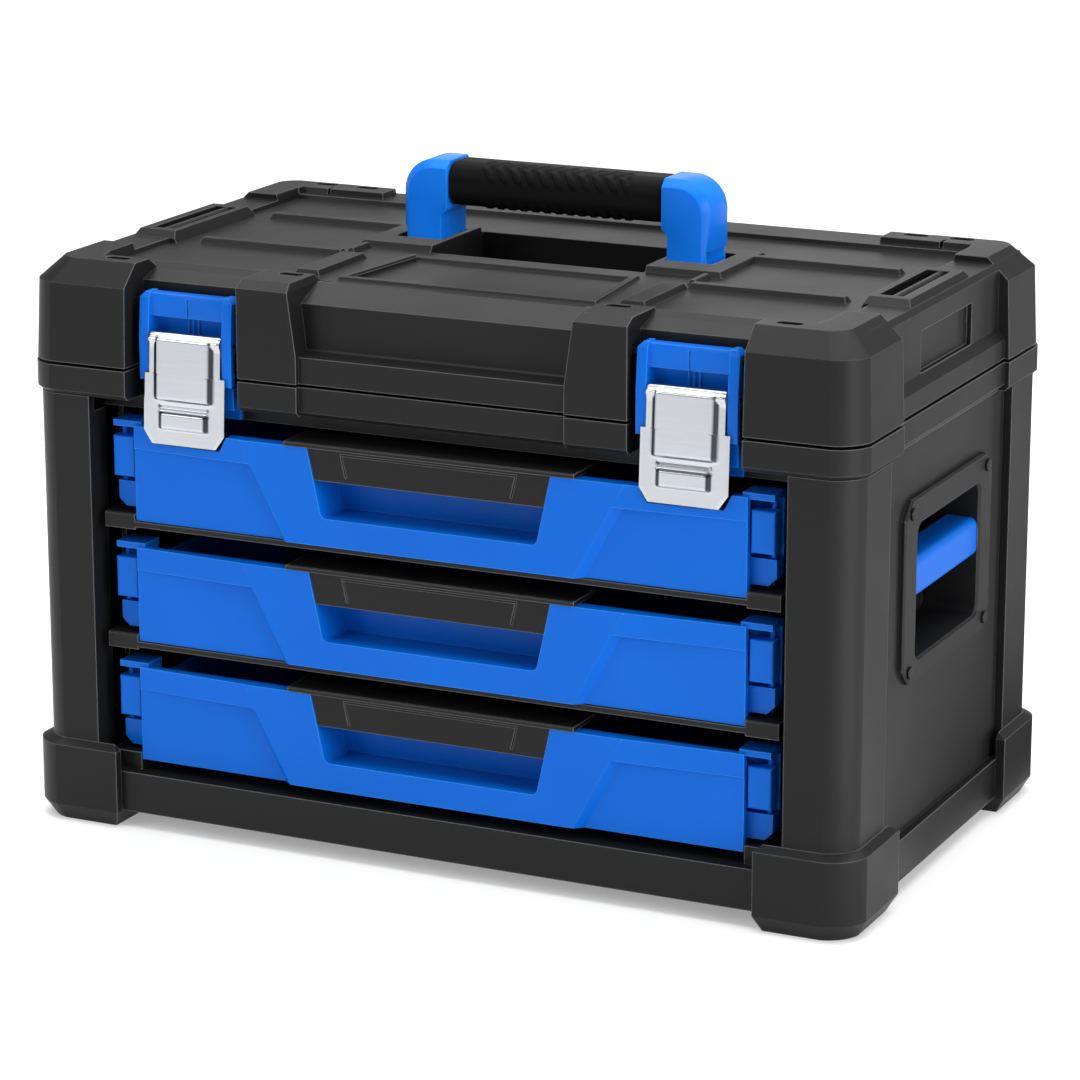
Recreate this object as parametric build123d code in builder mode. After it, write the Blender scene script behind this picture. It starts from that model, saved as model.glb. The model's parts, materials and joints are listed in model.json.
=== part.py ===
from build123d import *
import os

os.makedirs("parts", exist_ok=True)

# Portable tool box: a hinged lid over a shallow top tray, three drawers below it.
# Millimetres. +X is the user's right, -Y the front, +Z up. The origin is the middle
# of the footprint, on the floor that the four feet stand on. A setback is a distance
# behind the plane of the case's front corners.

# ---- case: overall plan and levels -------------------------------------------------
case_width = 500.0            # across the corner faces, the feet stand proud of it
case_depth = 298.5
half_w = case_width / 2
half_d = case_depth / 2
corner_cut = 16.7             # how far each corner arc reaches along a side
corner_bulge = 0.20           # bulge of the corner arc as a share of its cut
corner_shrink = 0.45          # loss of corner cut per millimetre of inset
foot_proud = 2.5
foot_height = 48.5
foot_face_bottom = 9.5        # the lower chamfer ends here
foot_face_top = 45.3          # the upper chamfer starts here
foot_sole_inset = 5.5         # lower chamfer, measured inwards
foot_end_x = half_w - 55.5  # inner end of a foot along the front
foot_end_y = half_d - 63.25  # and along the side
foot_end_chamfer = 4.0
post_inset = 3.0
post_wall = 6.0
post_front_x = half_w - 41.0  # inner edge of a post along the front
post_side_y = half_d - 53.25  # and along the side
post_jamb = 18.0              # depth of the jamb beside the drawers
jamb_wall = 4.0
drawer_count = 3
drawer_bottom = 39.8          # bottom edge of the lowest front
drawer_pitch = 70.0
face_height = 54.5
rail_width = 19.0             # rails that the drawers run on
rail_outer_x = post_front_x - 5.2
rail_inner_x = rail_outer_x - rail_width
face_gap = 0.6                # drawer front to the rails' inner sides, seen from the front
face_half = rail_inner_x - face_gap
pan_bottom = 10.0
pan_top = 33.3
pan_floor = 3.0
pan_skirt = 5.0
pan_rib = 3.0
pan_rib_depth = 12.0
pan_rib_pitch = 70.0
tray_underside = drawer_bottom + (drawer_count - 1) * drawer_pitch + face_height + 6.7
band_bottom = tray_underside + 8.8  # rim band under the lid
band_top = band_bottom + 16.7
band_inset = 0.9
band_bevel = 2.6              # bevel along the band's lower edge
band_side_x = half_w - 4.0  # band between the corner blocks, at the sides
band_side_bottom = band_bottom + 3.7
seam_gap = 1.7
tray_floor = 3.0
tray_gap = 0.5                # tray box to the panels around it
wall = 3.5                    # general moulded wall

# ---- lid ---------------------------------------------------------------------------
lid_bottom = band_top + seam_gap
lid_face_top = lid_bottom + 44.5  # corner faces end here, the chamfer starts
lid_top = lid_bottom + 56.8  # top of corner blocks and hook frames
lid_inset = 1.3
lid_draft = 1.8               # corner faces lean in by this much at lid_face_top
lid_top_inset = 15.7
rear_step = 1.8               # the lid's rear keeps this much further in, for the hinge
deck_height = lid_bottom + 50.3
block_end_x = face_half  # inner end of a corner block along the front
block_end_y = half_d - 65.65  # and along the side
recess_width = 67.8           # between a corner block and a mid block
block_slope = 15.0
basin_x = half_w - 36.5  # inner side of the border round the deck
basin_front_y = half_d - 38.75  # inner side of the front corner blocks
basin_rear_y = half_d - 35.25  # front of the rear pads and corner blocks
rear_gap_x = block_end_x + 11.8  # groove between a rear corner block and its pad
rear_gap = 2.0
rear_pad_x = block_end_x - 25.2  # inner end of the rear pad
pad_draft = 8.0
pad_rear_y = half_d - 17.5
rear_gap_depth = 8.0
border_rise = 2.8             # raised border at the deck's sides and rear
border_rear_y = half_d - 41.0
border_overrun = 10.0         # how far cutters run past the top
leg_slope_y = half_d - 30.25  # top of the slope behind a front corner block
leg_foot_y = half_d - 40.25   # and its foot on the deck
lip_front_y = half_d - 37.65  # bright lip above a latch recess
lip_crest_y = half_d - 42.95
lip_crest_width = 1.8
lip_foot_y = half_d - 46.75
slab_corner_cut = 16.5        # rear corners of the deck slab, under the corner blocks
slab_rear_edge = 5.0          # chamfer along the deck's rear edge
mid_outer_x = block_end_x - recess_width
mid_inner_bottom_x = mid_outer_x - 36.4
mid_inner_top_x = mid_outer_x - 31.4
mid_front = 7.3               # setback of the mid blocks
mid_face_top = lid_bottom + 50.4
mid_top = lid_bottom + 54.3
mid_chamfer = 7.0
mid_back_y = half_d - 42.25  # rear end of a mid block's top, from the middle
centre_front = 10.3           # setback of the lower centre face
ledge_height = lid_bottom + 14.8
ledge_depth = 9.0
ledge_rise = 2.0
wall_front = 20.6             # setback of the wall above the ledge
wall_lean = 1.0
front_slope_bottom = lid_bottom + 42.3
front_slope_depth = 23.0
recess_back = 24.0            # setback of the wall behind a latch
recess_slope_bottom = lid_bottom + 46.4
recess_slope_y = half_d - 37.65  # where that slope meets the deck, from the middle
lid_side_x = half_w - 8.8
lid_side_band_x = half_w - 4.5
side_band_top = lid_bottom + 10.8
side_band_bevel = 5.5
lid_back_y = half_d - 8.25
deck_edge = 3.0               # chamfer along the deck's free side edges

rib_height = 3.3
rib_width = 8.0
rib_taper = 28.0
rib_inner_x = 106.0
rib_outer_x = half_w - 52.0
front_rib_y = -35.0
rear_rib_y = 47.5
spine_outer_x = mid_outer_x - 10.4
spine_inner_x = spine_outer_x - 16.0
spine_front_y = 54.25 - half_d
spine_back_y = -38.0
short_rib_x = 105.0
short_rib_width = 6.0
short_rib_front_y = -31.0
short_rib_back_y = -9.0
panel_depth = 2.0
panel_back_x = 66.0
panel_front_x = 73.0
panel_front_y = 57.25 - half_d
panel_back_y = -23.0
strip_width = 5.0             # raised strip round the sunk panel
strip_height = 1.6

# ---- carrying handle ---------------------------------------------------------------
grip_half = 66.2              # half length of the rubber sleeve
grip_depth = 31.0             # front to back
grip_height = 27.0
grip_round = 10.0
grip_middle_y = 30.8
handle_top = deck_height + 48.5
arm_depth = 32.3
arm_outer_x = 95.1
arm_inner_x = 70.2
arm_round = 19.0
arm_end_gap = 0.4             # sleeve end to arm
arm_step_z = deck_height + 20.5  # the arm widens towards the grip from here
arm_chamfer = 4.5
arm_engagement = 8.0          # arm length below the deck when raised
handle_travel = 14.0
arm_flange = 3.2              # guide flange at an arm's foot, proud of it
flange_height = 4.0
flange_gap = 0.4
core_width = 20.0
core_height = 13.0
core_socket = 12.0            # how far the core reaches into an arm
core_gap = 0.2
slot_width = 27.0             # shallow slot in an arm's outer face
slot_height = 8.5
slot_depth = 2.5
slot_bottom = deck_height + 0.4
well_half = 66.3
well_front_y = -8.0
well_back_y = 62.0
well_floor = deck_height - 34.5
pocket_gap_outer = 4.0  # arm to pocket edge, in the deck
pocket_gap = 1.0
pocket_floor_gap = 0.8
housing_wall = 3.0
frame_width = 13.0
frame_height = 3.3
frame_front_y = -6.0
frame_back_y = 60.0

# ---- hook frames on the lid sides --------------------------------------------------
hook_inner_x = half_w - 41.0
hook_top_inner_x = half_w - 38.0
hook_top_x = half_w - 15.0
hook_side_x = lid_side_x
hook_half = 46.0
hook_end_slope = 4.0          # slanted end of a hook frame
hook_slot_half = 37.0
hook_slot_x = half_w - 34.5
hook_slot_width = 14.2
hook_slot_depth = 8.0
hook_rod_x = half_w - 26.6
hook_rod_radius = 3.0
hook_rod_drop = 0.5           # top of the rod below the frame
side_pocket_half = 40.0
side_pocket_bottom = lid_bottom + 16.8
side_pocket_top = lid_bottom + 39.8
side_pocket_depth = 3.0
oval_length = 15.0
oval_width = 7.0
oval_depth = 5.0
oval_front_y = 37.25 - half_d  # of the mid blocks
oval_rear_y = half_d - 22.25
oval_mid_x = 98.0
oval_corner_x = block_end_x + 16.0
oval_corner_y = 24.75 - half_d
oval_rear_x = block_end_x + 19.8
oval_pad_x = block_end_x - 8.0

# ---- drawers -----------------------------------------------------------------------
face_front = 5.5              # setback of the proud centre
panel_front = 10.0            # setback of the side panels
face_wall = 4.0
slant_bottom_x = 86.6
slant_top_x = 108.6
slant_top_z = 41.4
slant_angle = 45.0            # of the facet beside the proud centre
strip_proud = 0.5             # end of the strip above a side panel, proud of it
lip_half = 87.1
lip_height = 2.6
lip_bevel = lip_height / 4
notch_top_x = 73.2
notch_bottom_x = 64.7
notch_bottom_z = 15.7
notch_depth = 25.0
notch_round = 4.0
insert_bottom_z = 36.6
insert_wall = 3.0
insert_shelf = 9.0
insert_gap = 0.3
insert_front = 6.4
badge_half = 53.0
badge_depth = 0.5
badge_line = 0.9
badge_bottom_z = 38.7
badge_top_z = 52.7
tub_wall = 2.5
lip_depth = notch_depth + tub_wall  # the lip roofs the finger pocket
tub_half = face_half - 1.2
runner_gap = 0.5              # runner flange to the inner end of a foot
runner_half = foot_end_x - runner_gap
tub_back_y = half_d - 19.25
tub_height = 46.0
wing_front = 25.0             # setback of the walls behind the catches
tail_notch_gap = 1.3          # room round a latch tail in the top drawer's front
ear_inner_x = face_half + 1.2
ear_outer_x = face_half + 14.3
tab_bottom_z = 53.0
tab_height = 3.5
tab_front = 11.7
catch_outer_x = face_half + 14.8
catch_bottom_z = 24.2
catch_top_z = 47.4
catch_front = 11.5
catch_wall = 8.0
catch_round = 1.2
lug_bottom_z = 6.2
lug_top_z = 20.7
lug_front = 16.0
lug_round = 4.5               # bevelled lower corner of a lug
catch_pin_x = face_half + 11.4
catch_pin_setback = 19.5
catch_pin_radius = 1.6
catch_boss = 2.6
pin_gap = 0.05
pin_reach = 3.0               # how far a catch pin sits in tab and lug

# ---- shelves and runners between the drawers ---------------------------------------
shelf_wall = 3.2
shelf_bevel = shelf_wall / 4
shelf_drop = 0.4              # shelf top below the drawer front above it
shelf_front = 9.0             # setback of the shelf's front edge
shelf_back_y = half_d - 11.25
rail_above = 3.7              # rail top above the drawer front's bottom edge
rail_below = 5.1
run_gap = 0.3
liner_gap = 0.1
liner_wall = 3.0
liner_front_y = 31.25 - half_d

# ---- side handles ------------------------------------------------------------------
panel_x = half_w - 7.5  # outer face of a side panel
panel_wall = 4.0
panel_groove = 1.5            # groove between a side panel and a post
panel_tongue = 8.0            # the panel's edge runs this far behind the post
back_y = half_d - 4.25  # outer face of the back panel
back_half = post_front_x - 0.4
cup_half = 50.0
cup_bottom = 129.5
cup_top = 204.5
cup_back_x = half_w - 37.0
cup_wall = 2.5
cup_gap = 0.2
cup_round = 6.0
mouth_bevel = 1.5
flange_half = 68.0
flange_bottom = 117.5
flange_top = 220.5
flange_wall = 3.5
flange_bevel = flange_wall / 3
flange_chamfer = 10.0
bar_front_x = half_w - 6.0
bar_depth = 18.0
bar_bottom = 162.5
bar_height = 22.0
bar_flat = 13.0
bar_tenon = 2.2
screw_y = 59.5
screw_low_z = 125.0
screw_high_z = 213.0
screw_head_radius = 3.6
screw_head_height = 1.4
screw_head_bevel = screw_head_height / 3
screw_shank_radius = 1.8
screw_gap = 0.1

# ---- latches -----------------------------------------------------------------------
latch_x = block_end_x - recess_width / 2 - 0.6
yoke_half = 28.8
yoke_arm = 5.8
yoke_top = lid_bottom + 42.8
yoke_bottom = lid_bottom - 6.2
yoke_pin_setback = 15.5
yoke_pin_z = lid_bottom + 36.3
yoke_pin_radius = 2.0
yoke_top_front = 12.0         # setbacks of the yoke's outline, from the top down
yoke_top_back = 20.0
yoke_face_top = lid_bottom + 39.8
yoke_face_setback = 10.4
yoke_bend_z = lid_bottom + 17.8
yoke_front = 8.4
yoke_foot_back = 12.4
yoke_web_back = 22.6
yoke_web_front = 19.6
yoke_web_bottom = lid_bottom + 14.8
yoke_step = 0.8               # the bar stands back from the arms at the top
yoke_bar_step = 1.8           # and in front
yoke_rib = 1.0                # ribs on the web
yoke_rib_pitch = 3.2
yoke_bar_bottom = lid_bottom + 29.3
lever_pin_z = lid_bottom + 16.3
lever_pin_setback = 12.4
lever_pin_radius = 1.6
lever_top = lid_bottom + 21.4
lever_half = 22.4
lever_wide_half = 25.3
lever_shoulder = lever_top - 23.1
lever_chamfer_z = lever_top - 55.1
lever_bottom = lever_top - 62.4
lever_bottom_half = 20.2
lever_wall = 1.2
lever_front_top = 8.0         # setbacks of the plate's front face
lever_front_bottom = 4.4
emboss_height = 2.2
emboss_draft = 40.0
emboss_half = 15.6
emboss_top = lever_top - 5.6
emboss_bottom = lever_top - 40.1
pad_half = 15.8
pad_top = lever_top - 44.6
pad_bottom = lever_top - 54.8
pad_height = 1.6
ear_plate = 1.4
ear_back = 2.6                # ear behind the pin's centre
ear_bottom = lever_top - 10.6
keeper_half = 27.5
keeper_front = 13.0
keeper_bottom = band_top - 25.0
keeper_top = band_top - 6.0
keeper_wall = 3.0
keeper_hook = 12.0            # height of the keeper's front edge

# ---- lid hinge ---------------------------------------------------------------------
hinge_x = 130.0
hinge_half = 27.0
knuckle_gap = 0.4
hinge_barrel = 4.0
hinge_pin_radius = 2.0
hinge_axis_y = half_d - 1.75

hinge_axis_z = (band_top + lid_bottom) / 2
screw_places = [(y, z) for y in (-screw_y, screw_y) for z in (screw_low_z, screw_high_z)]


def front(setback):
    """Y of a surface that lies a setback behind the case's front plane."""
    return setback - half_d


def plan_outline(inset, rear_inset=None):
    """Draws the case's plan outline, set in by a distance, inside an open sketch."""
    rear_inset = inset if rear_inset is None else rear_inset
    x = half_w - inset
    y0 = inset - half_d
    y1 = half_d - rear_inset
    cut = corner_cut - corner_shrink * inset
    lean = cut * (0.5 - corner_bulge / 2**0.5)
    with BuildLine() as outline:
        for side in (-1, 1):
            for y, turn in ((y0, 1), (y1, -1)):
                start = (side * (x - cut), y)
                end = (side * x, y + turn * cut)
                middle = (side * (x - lean), y + turn * lean)
                ThreePointArc(start, middle, end)
            Line((side * x, y0 + cut), (side * x, y1 - cut))
        Line((cut - x, y0), (x - cut, y0))
        Line((cut - x, y1), (x - cut, y1))
    make_face(outline.edges())


def slab(x0, x1, y0, y1, z0, z1, mode=Mode.ADD, taper=0.0):
    """Adds or cuts an upright block between given limits in the open part."""
    with BuildSketch(Plane.XY.offset(z0)) as face:
        with Locations(((x0 + x1) / 2, (y0 + y1) / 2)):
            Rectangle(abs(x1 - x0), abs(y1 - y0))
    extrude(face.sketch, amount=z1 - z0, mode=mode, taper=taper)


def prism_along_x(points, x0, x1, mode=Mode.ADD):
    """Extrudes a closed (y, z) outline from x0 to x1 in the open part."""
    with BuildSketch(Plane.YZ.offset(min(x0, x1))) as face:
        with BuildLine():
            Polyline(*points, close=True)
        make_face()
    extrude(face.sketch, amount=abs(x1 - x0), mode=mode)


def prism_along_y(points, y0, y1, mode=Mode.ADD):
    """Extrudes a closed (x, z) outline from y0 back to y1 in the open part."""
    with BuildSketch(Plane.XZ.offset(-y0)) as face:
        with BuildLine():
            Polyline(*points, close=True)
        make_face()
    extrude(face.sketch, amount=y0 - y1, mode=mode)


def prism_along_z(points, z0, z1, mode=Mode.ADD):
    """Extrudes a closed (x, y) outline from z0 up to z1 in the open part."""
    with BuildSketch(Plane.XY.offset(z0)) as face:
        with BuildLine():
            Polyline(*points, close=True)
        make_face()
    extrude(face.sketch, amount=z1 - z0, mode=mode)


def rod_along_x(y, z, radius, x0, x1, mode=Mode.ADD):
    """Adds or cuts a round bar along X in the open part."""
    with BuildSketch(Plane.YZ.offset(min(x0, x1))) as face:
        with Locations((y, z)):
            Circle(radius)
    extrude(face.sketch, amount=abs(x1 - x0), mode=mode)


def rod_along_z(x, y, radius, z0, z1, mode=Mode.ADD):
    """Adds or cuts a round upright bar in the open part."""
    with BuildSketch(Plane.XY.offset(z0)) as face:
        with Locations((x, y)):
            Circle(radius)
    extrude(face.sketch, amount=z1 - z0, mode=mode)


def save(part, name):
    """Labels a finished piece and writes its file."""
    part.label = name
    export_step(part, f"parts/{name}.step")


def side_name(side):
    return "left" if side < 0 else "right"


def corner_name(side, end):
    """Name of a corner: side is -1 for left, end is -1 for front."""
    return ("front_" if end < 0 else "rear_") + side_name(side)


# ---- feet --------------------------------------------------------------------------
foot_levels = (
    (0.0, foot_sole_inset - foot_proud, foot_end_chamfer),
    (foot_face_bottom, -foot_proud, 0.0),
    (foot_face_top, -foot_proud, 0.0),
    (foot_height, post_inset, foot_end_chamfer),
)
with BuildPart() as foot_ring:
    for lower, upper in zip(foot_levels, foot_levels[1:]):
        with BuildSketch(Plane.XY.offset(lower[0])):
            plan_outline(lower[1])
        with BuildSketch(Plane.XY.offset(upper[0])):
            plan_outline(upper[1])
        loft(ruled=True)
    with BuildSketch(Plane.XY.offset(pan_bottom)):
        plan_outline(post_inset)
    extrude(amount=foot_height, mode=Mode.SUBTRACT)

for side in (-1, 1):
    for end in (-1, 1):
        with BuildPart() as foot:
            for lower, upper in zip(foot_levels, foot_levels[1:]):
                for level in (lower, upper):
                    reach_x = half_w + foot_proud * 2 - foot_end_x - level[2]
                    reach_y = half_d + foot_proud * 2 - foot_end_y - level[2]
                    centre = (
                        side * (foot_end_x + level[2] + reach_x / 2),
                        end * (foot_end_y + level[2] + reach_y / 2),
                    )
                    with BuildSketch(Plane.XY.offset(level[0])):
                        with Locations(centre):
                            Rectangle(reach_x, reach_y)
                loft(ruled=True)
            add(foot_ring.part, mode=Mode.INTERSECT)
        save(foot.part, "foot_" + corner_name(side, end))

# ---- base pan ----------------------------------------------------------------------
with BuildPart() as pan:
    with BuildSketch(Plane.XY.offset(pan_bottom)):
        plan_outline(post_inset)
    extrude(amount=pan_top - pan_bottom)
    with BuildSketch(Plane.XY.offset(pan_bottom)):
        plan_outline(post_inset + pan_skirt)
    extrude(amount=pan_top - pan_bottom - pan_floor, mode=Mode.SUBTRACT)
    for k in (-1, 0, 1):
        slab(
            -half_w + post_inset + pan_skirt, half_w - post_inset - pan_skirt,
            k * pan_rib_pitch - pan_rib / 2, k * pan_rib_pitch + pan_rib / 2,
            pan_top - pan_floor - pan_rib_depth, pan_top - pan_floor,
        )
    for side in (-1, 1):
        slab(
            side * rail_inner_x, side * rail_outer_x, front(panel_front), shelf_back_y,
            pan_top, drawer_bottom + rail_above,
        )
save(pan.part, "base_pan")

# ---- corner posts ------------------------------------------------------------------
inner_x = half_w - post_inset - post_wall
inner_y = half_d - post_inset - post_wall
for side in (-1, 1):
    for end in (-1, 1):
        with BuildPart() as post:
            with BuildSketch(Plane.XY.offset(pan_top)):
                plan_outline(post_inset)
                Rectangle(2 * inner_x, 2 * inner_y, mode=Mode.SUBTRACT)
                with Locations((side * (half_w + post_front_x) / 2, end * (half_d + post_side_y) / 2)):
                    Rectangle(half_w - post_front_x, half_d - post_side_y, mode=Mode.INTERSECT)
            extrude(amount=band_bottom - pan_top)
            slab(
                side * post_front_x, side * (post_front_x + jamb_wall),
                end * (half_d - post_inset - post_jamb), end * inner_y,
                pan_top, tray_underside - tray_gap,
            )
        save(post.part, "post_" + corner_name(side, end))

# ---- side and back panels, inner liners --------------------------------------------
panel_edge = post_side_y - panel_groove
for side in (-1, 1):
    with BuildPart() as panel:
        slab(
            side * (panel_x - panel_wall), side * panel_x, -panel_edge, panel_edge,
            pan_top, band_bottom,
        )
        slab(
            side * (inner_x - panel_wall), side * inner_x,
            -panel_edge - panel_tongue, panel_edge + panel_tongue, pan_top, band_bottom,
        )
        slab(
            side * (inner_x - 2 * panel_wall), side * half_w,
            -cup_half - cup_wall - cup_gap, cup_half + cup_wall + cup_gap,
            cup_bottom - cup_wall - cup_gap, cup_top + cup_wall + cup_gap,
            mode=Mode.SUBTRACT,
        )
        with BuildSketch(Plane.YZ.offset(side * panel_x)) as holes:
            with Locations(*screw_places):
                Circle(screw_shank_radius + screw_gap)
        extrude(holes.sketch, amount=3 * panel_wall, both=True, mode=Mode.SUBTRACT)
    save(panel.part, "side_panel_" + side_name(side))

    with BuildPart() as liner:
        slab(
            side * (rail_outer_x + liner_gap), side * (rail_outer_x + liner_gap + liner_wall),
            liner_front_y, shelf_back_y, pan_top, tray_underside,
        )
    save(liner.part, "inner_liner_" + side_name(side))

with BuildPart() as back_panel:
    slab(-back_half, back_half, back_y - panel_wall, back_y, pan_top, band_bottom)
save(back_panel.part, "back_panel")

# ---- rim and top tray --------------------------------------------------------------
tray_x = inner_x - panel_wall - tray_gap
tray_front_y = front(recess_back)
tray_back_y = inner_y - tray_gap
band_levels = (
    (band_bottom, band_inset + band_bevel),
    (band_bottom + band_bevel, band_inset),
    (band_top, band_inset),
)
with BuildPart() as rim:
    for lower, upper in zip(band_levels, band_levels[1:]):
        with BuildSketch(Plane.XY.offset(lower[0])):
            plan_outline(lower[1])
        with BuildSketch(Plane.XY.offset(upper[0])):
            plan_outline(upper[1])
        loft(ruled=True)
    # recesses for the latches, the rear and the sides
    slab(
        -block_end_x, block_end_x, -half_d, front(recess_back),
        band_bottom, band_top, mode=Mode.SUBTRACT,
    )
    slab(-block_end_x, block_end_x, lid_back_y, half_d, band_bottom, band_top, mode=Mode.SUBTRACT)
    for side in (-1, 1):
        slab(
            side * band_side_x, side * half_w, -block_end_y, block_end_y,
            band_bottom, band_top, mode=Mode.SUBTRACT,
        )
    # front between the latches
    for setback, half in ((mid_front, mid_outer_x), (centre_front, mid_inner_bottom_x)):
        if setback > mid_front:
            slab(-half, half, -half_d, front(recess_back), band_bottom, band_top, mode=Mode.SUBTRACT)
        prism_along_x(
            (
                (front(recess_back), band_bottom),
                (front(setback + band_bevel), band_bottom),
                (front(setback), band_bottom + band_bevel),
                (front(setback), band_top),
                (front(recess_back), band_top),
            ),
            -half, half,
        )
    slab(-tray_x, tray_x, tray_front_y, tray_back_y, tray_underside, band_bottom)
    slab(
        wall - tray_x, tray_x - wall, tray_front_y + wall, tray_back_y - wall,
        tray_underside + tray_floor, band_top, mode=Mode.SUBTRACT,
    )
    slab(
        wall - mid_outer_x, mid_outer_x - wall, front(centre_front + wall), tray_front_y,
        band_bottom, band_top - wall, mode=Mode.SUBTRACT,
    )
    for side in (-1, 1):
        slab(
            side * panel_x, side * half_w, -block_end_y, block_end_y,
            band_bottom, band_side_bottom, mode=Mode.SUBTRACT,
        )
        for turn in (-1, 1):
            x0 = side * hinge_x + turn * hinge_half
            x1 = side * hinge_x + turn * (hinge_half / 3 + knuckle_gap / 2)
            prism_along_x(
                (
                    (lid_back_y, hinge_axis_z - 2 * hinge_barrel - wall),
                    (hinge_axis_y, hinge_axis_z - hinge_barrel),
                    (hinge_axis_y, hinge_axis_z),
                    (lid_back_y, band_top),
                ),
                x0, x1,
            )
            rod_along_x(hinge_axis_y, hinge_axis_z, hinge_barrel, x0, x1)
        rod_along_x(
            hinge_axis_y, hinge_axis_z, hinge_pin_radius + pin_gap,
            side * hinge_x - hinge_half, side * hinge_x + hinge_half, mode=Mode.SUBTRACT,
        )
save(rim.part, "rim_tray")

# ---- shelves between the drawers ---------------------------------------------------
for k in range(1, drawer_count):
    level = drawer_bottom + k * drawer_pitch
    with BuildPart() as shelf:
        slab(
            -rail_inner_x, rail_inner_x, front(shelf_front), shelf_back_y,
            level - shelf_drop - shelf_wall, level - shelf_drop,
        )
        for side in (-1, 1):
            slab(
                side * rail_inner_x, side * rail_outer_x, front(shelf_front), shelf_back_y,
                level - rail_below, level + rail_above,
            )
        front_edges = shelf.edges().filter_by(Axis.X).group_by(Axis.Y)[0]
        chamfer(front_edges.sort_by(Axis.Z)[-2:], shelf_bevel)
    save(shelf.part, f"shelf_{k}")

# ---- side handles ------------------------------------------------------------------
for side in (-1, 1):
    face_plane = Plane.YZ.offset(side * panel_x)
    with BuildPart() as cup:
        with BuildSketch(face_plane) as flange:
            with Locations((0, (flange_bottom + flange_top) / 2)):
                Rectangle(2 * flange_half, flange_top - flange_bottom)
            chamfer(flange.vertices(), flange_chamfer)
        extrude(flange.sketch, amount=side * flange_wall)
        outer_edges = cup.faces().sort_by(Axis.X)[0 if side < 0 else -1].edges()
        chamfer(outer_edges, flange_bevel)
        slab(
            side * (cup_back_x - cup_wall), side * panel_x, -cup_half - cup_wall, cup_half + cup_wall,
            cup_bottom - cup_wall, cup_top + cup_wall,
        )
        with BuildSketch(Plane.YZ.offset(side * cup_back_x)) as hollow:
            with Locations((0, (cup_bottom + cup_top) / 2)):
                RectangleRounded(2 * cup_half, cup_top - cup_bottom, cup_round)
        cup_depth = panel_x + flange_wall - cup_back_x
        extrude(hollow.sketch, amount=side * cup_depth, mode=Mode.SUBTRACT)
        mouth = cup.edges().filter_by(lambda e: abs(abs(e.center().X) - panel_x - flange_wall) < 0.01)
        mouth = mouth.filter_by(
            lambda e: abs(e.center().Y) < cup_half + 0.01
            and cup_bottom - 0.01 < e.center().Z < cup_top + 0.01
        )
        chamfer(mouth, mouth_bevel)
        with BuildSketch(face_plane) as holes:
            with Locations(*screw_places):
                Circle(screw_shank_radius + screw_gap)
        extrude(holes.sketch, amount=2 * flange_wall, both=True, mode=Mode.SUBTRACT)
        slab(
            side * (bar_front_x - bar_depth), side * bar_front_x,
            -cup_half - bar_tenon, cup_half + bar_tenon,
            bar_bottom + bar_height / 4, bar_bottom + bar_height * 3 / 4, mode=Mode.SUBTRACT,
        )
    save(cup.part, "side_handle_cup_" + side_name(side))

    with BuildPart() as bar:
        with BuildSketch(Plane.XZ) as section:
            with Locations((side * (bar_front_x - bar_depth / 2), bar_bottom + bar_height / 2)):
                Rectangle(bar_depth, bar_height)
            outer_corners = section.vertices().sort_by(Axis.X)
            outer_corners = outer_corners[:2] if side < 0 else outer_corners[-2:]
            fillet(outer_corners, (bar_height - bar_flat) / 2)
        extrude(section.sketch, amount=cup_half, both=True)
        slab(
            side * (bar_front_x - bar_depth), side * bar_front_x,
            -cup_half - bar_tenon, cup_half + bar_tenon,
            bar_bottom + bar_height / 4, bar_bottom + bar_height * 3 / 4,
        )
    save(bar.part, "side_handle_bar_" + side_name(side))

    with BuildPart() as screws:
        head_x = panel_x + flange_wall
        with BuildSketch(Plane.YZ.offset(side * head_x)) as heads:
            with Locations(*screw_places):
                Circle(screw_head_radius)
        extrude(heads.sketch, amount=side * screw_head_height)
        rim_edges = screws.edges().filter_by(GeomType.CIRCLE).group_by(Axis.X)
        chamfer(rim_edges[0] if side < 0 else rim_edges[-1], screw_head_bevel)
        with BuildSketch(Plane.YZ.offset(side * head_x)) as shanks:
            with Locations(*screw_places):
                Circle(screw_shank_radius)
        extrude(shanks.sketch, amount=-side * (flange_wall + panel_wall))
    save(screws.part, "side_handle_screws_" + side_name(side))

# ---- lid ---------------------------------------------------------------------------
corner_levels = (
    (lid_bottom, lid_inset),
    (lid_face_top, lid_inset + lid_draft),
    (lid_top, lid_top_inset),
)
with BuildPart() as corners:
    for lower, upper in zip(corner_levels, corner_levels[1:]):
        with BuildSketch(Plane.XY.offset(lower[0])):
            plan_outline(lower[1], lower[1] + rear_step)
        with BuildSketch(Plane.XY.offset(upper[0])):
            plan_outline(upper[1], upper[1] + rear_step)
        loft(ruled=True)
    with BuildSketch(Plane.XY.offset(lid_bottom)):
        with GridLocations(2 * half_w, 2 * half_d, 2, 2):
            Rectangle(2 * (half_w - block_end_x), 2 * (half_d - block_end_y))
    extrude(amount=lid_top - lid_bottom, mode=Mode.INTERSECT)

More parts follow.
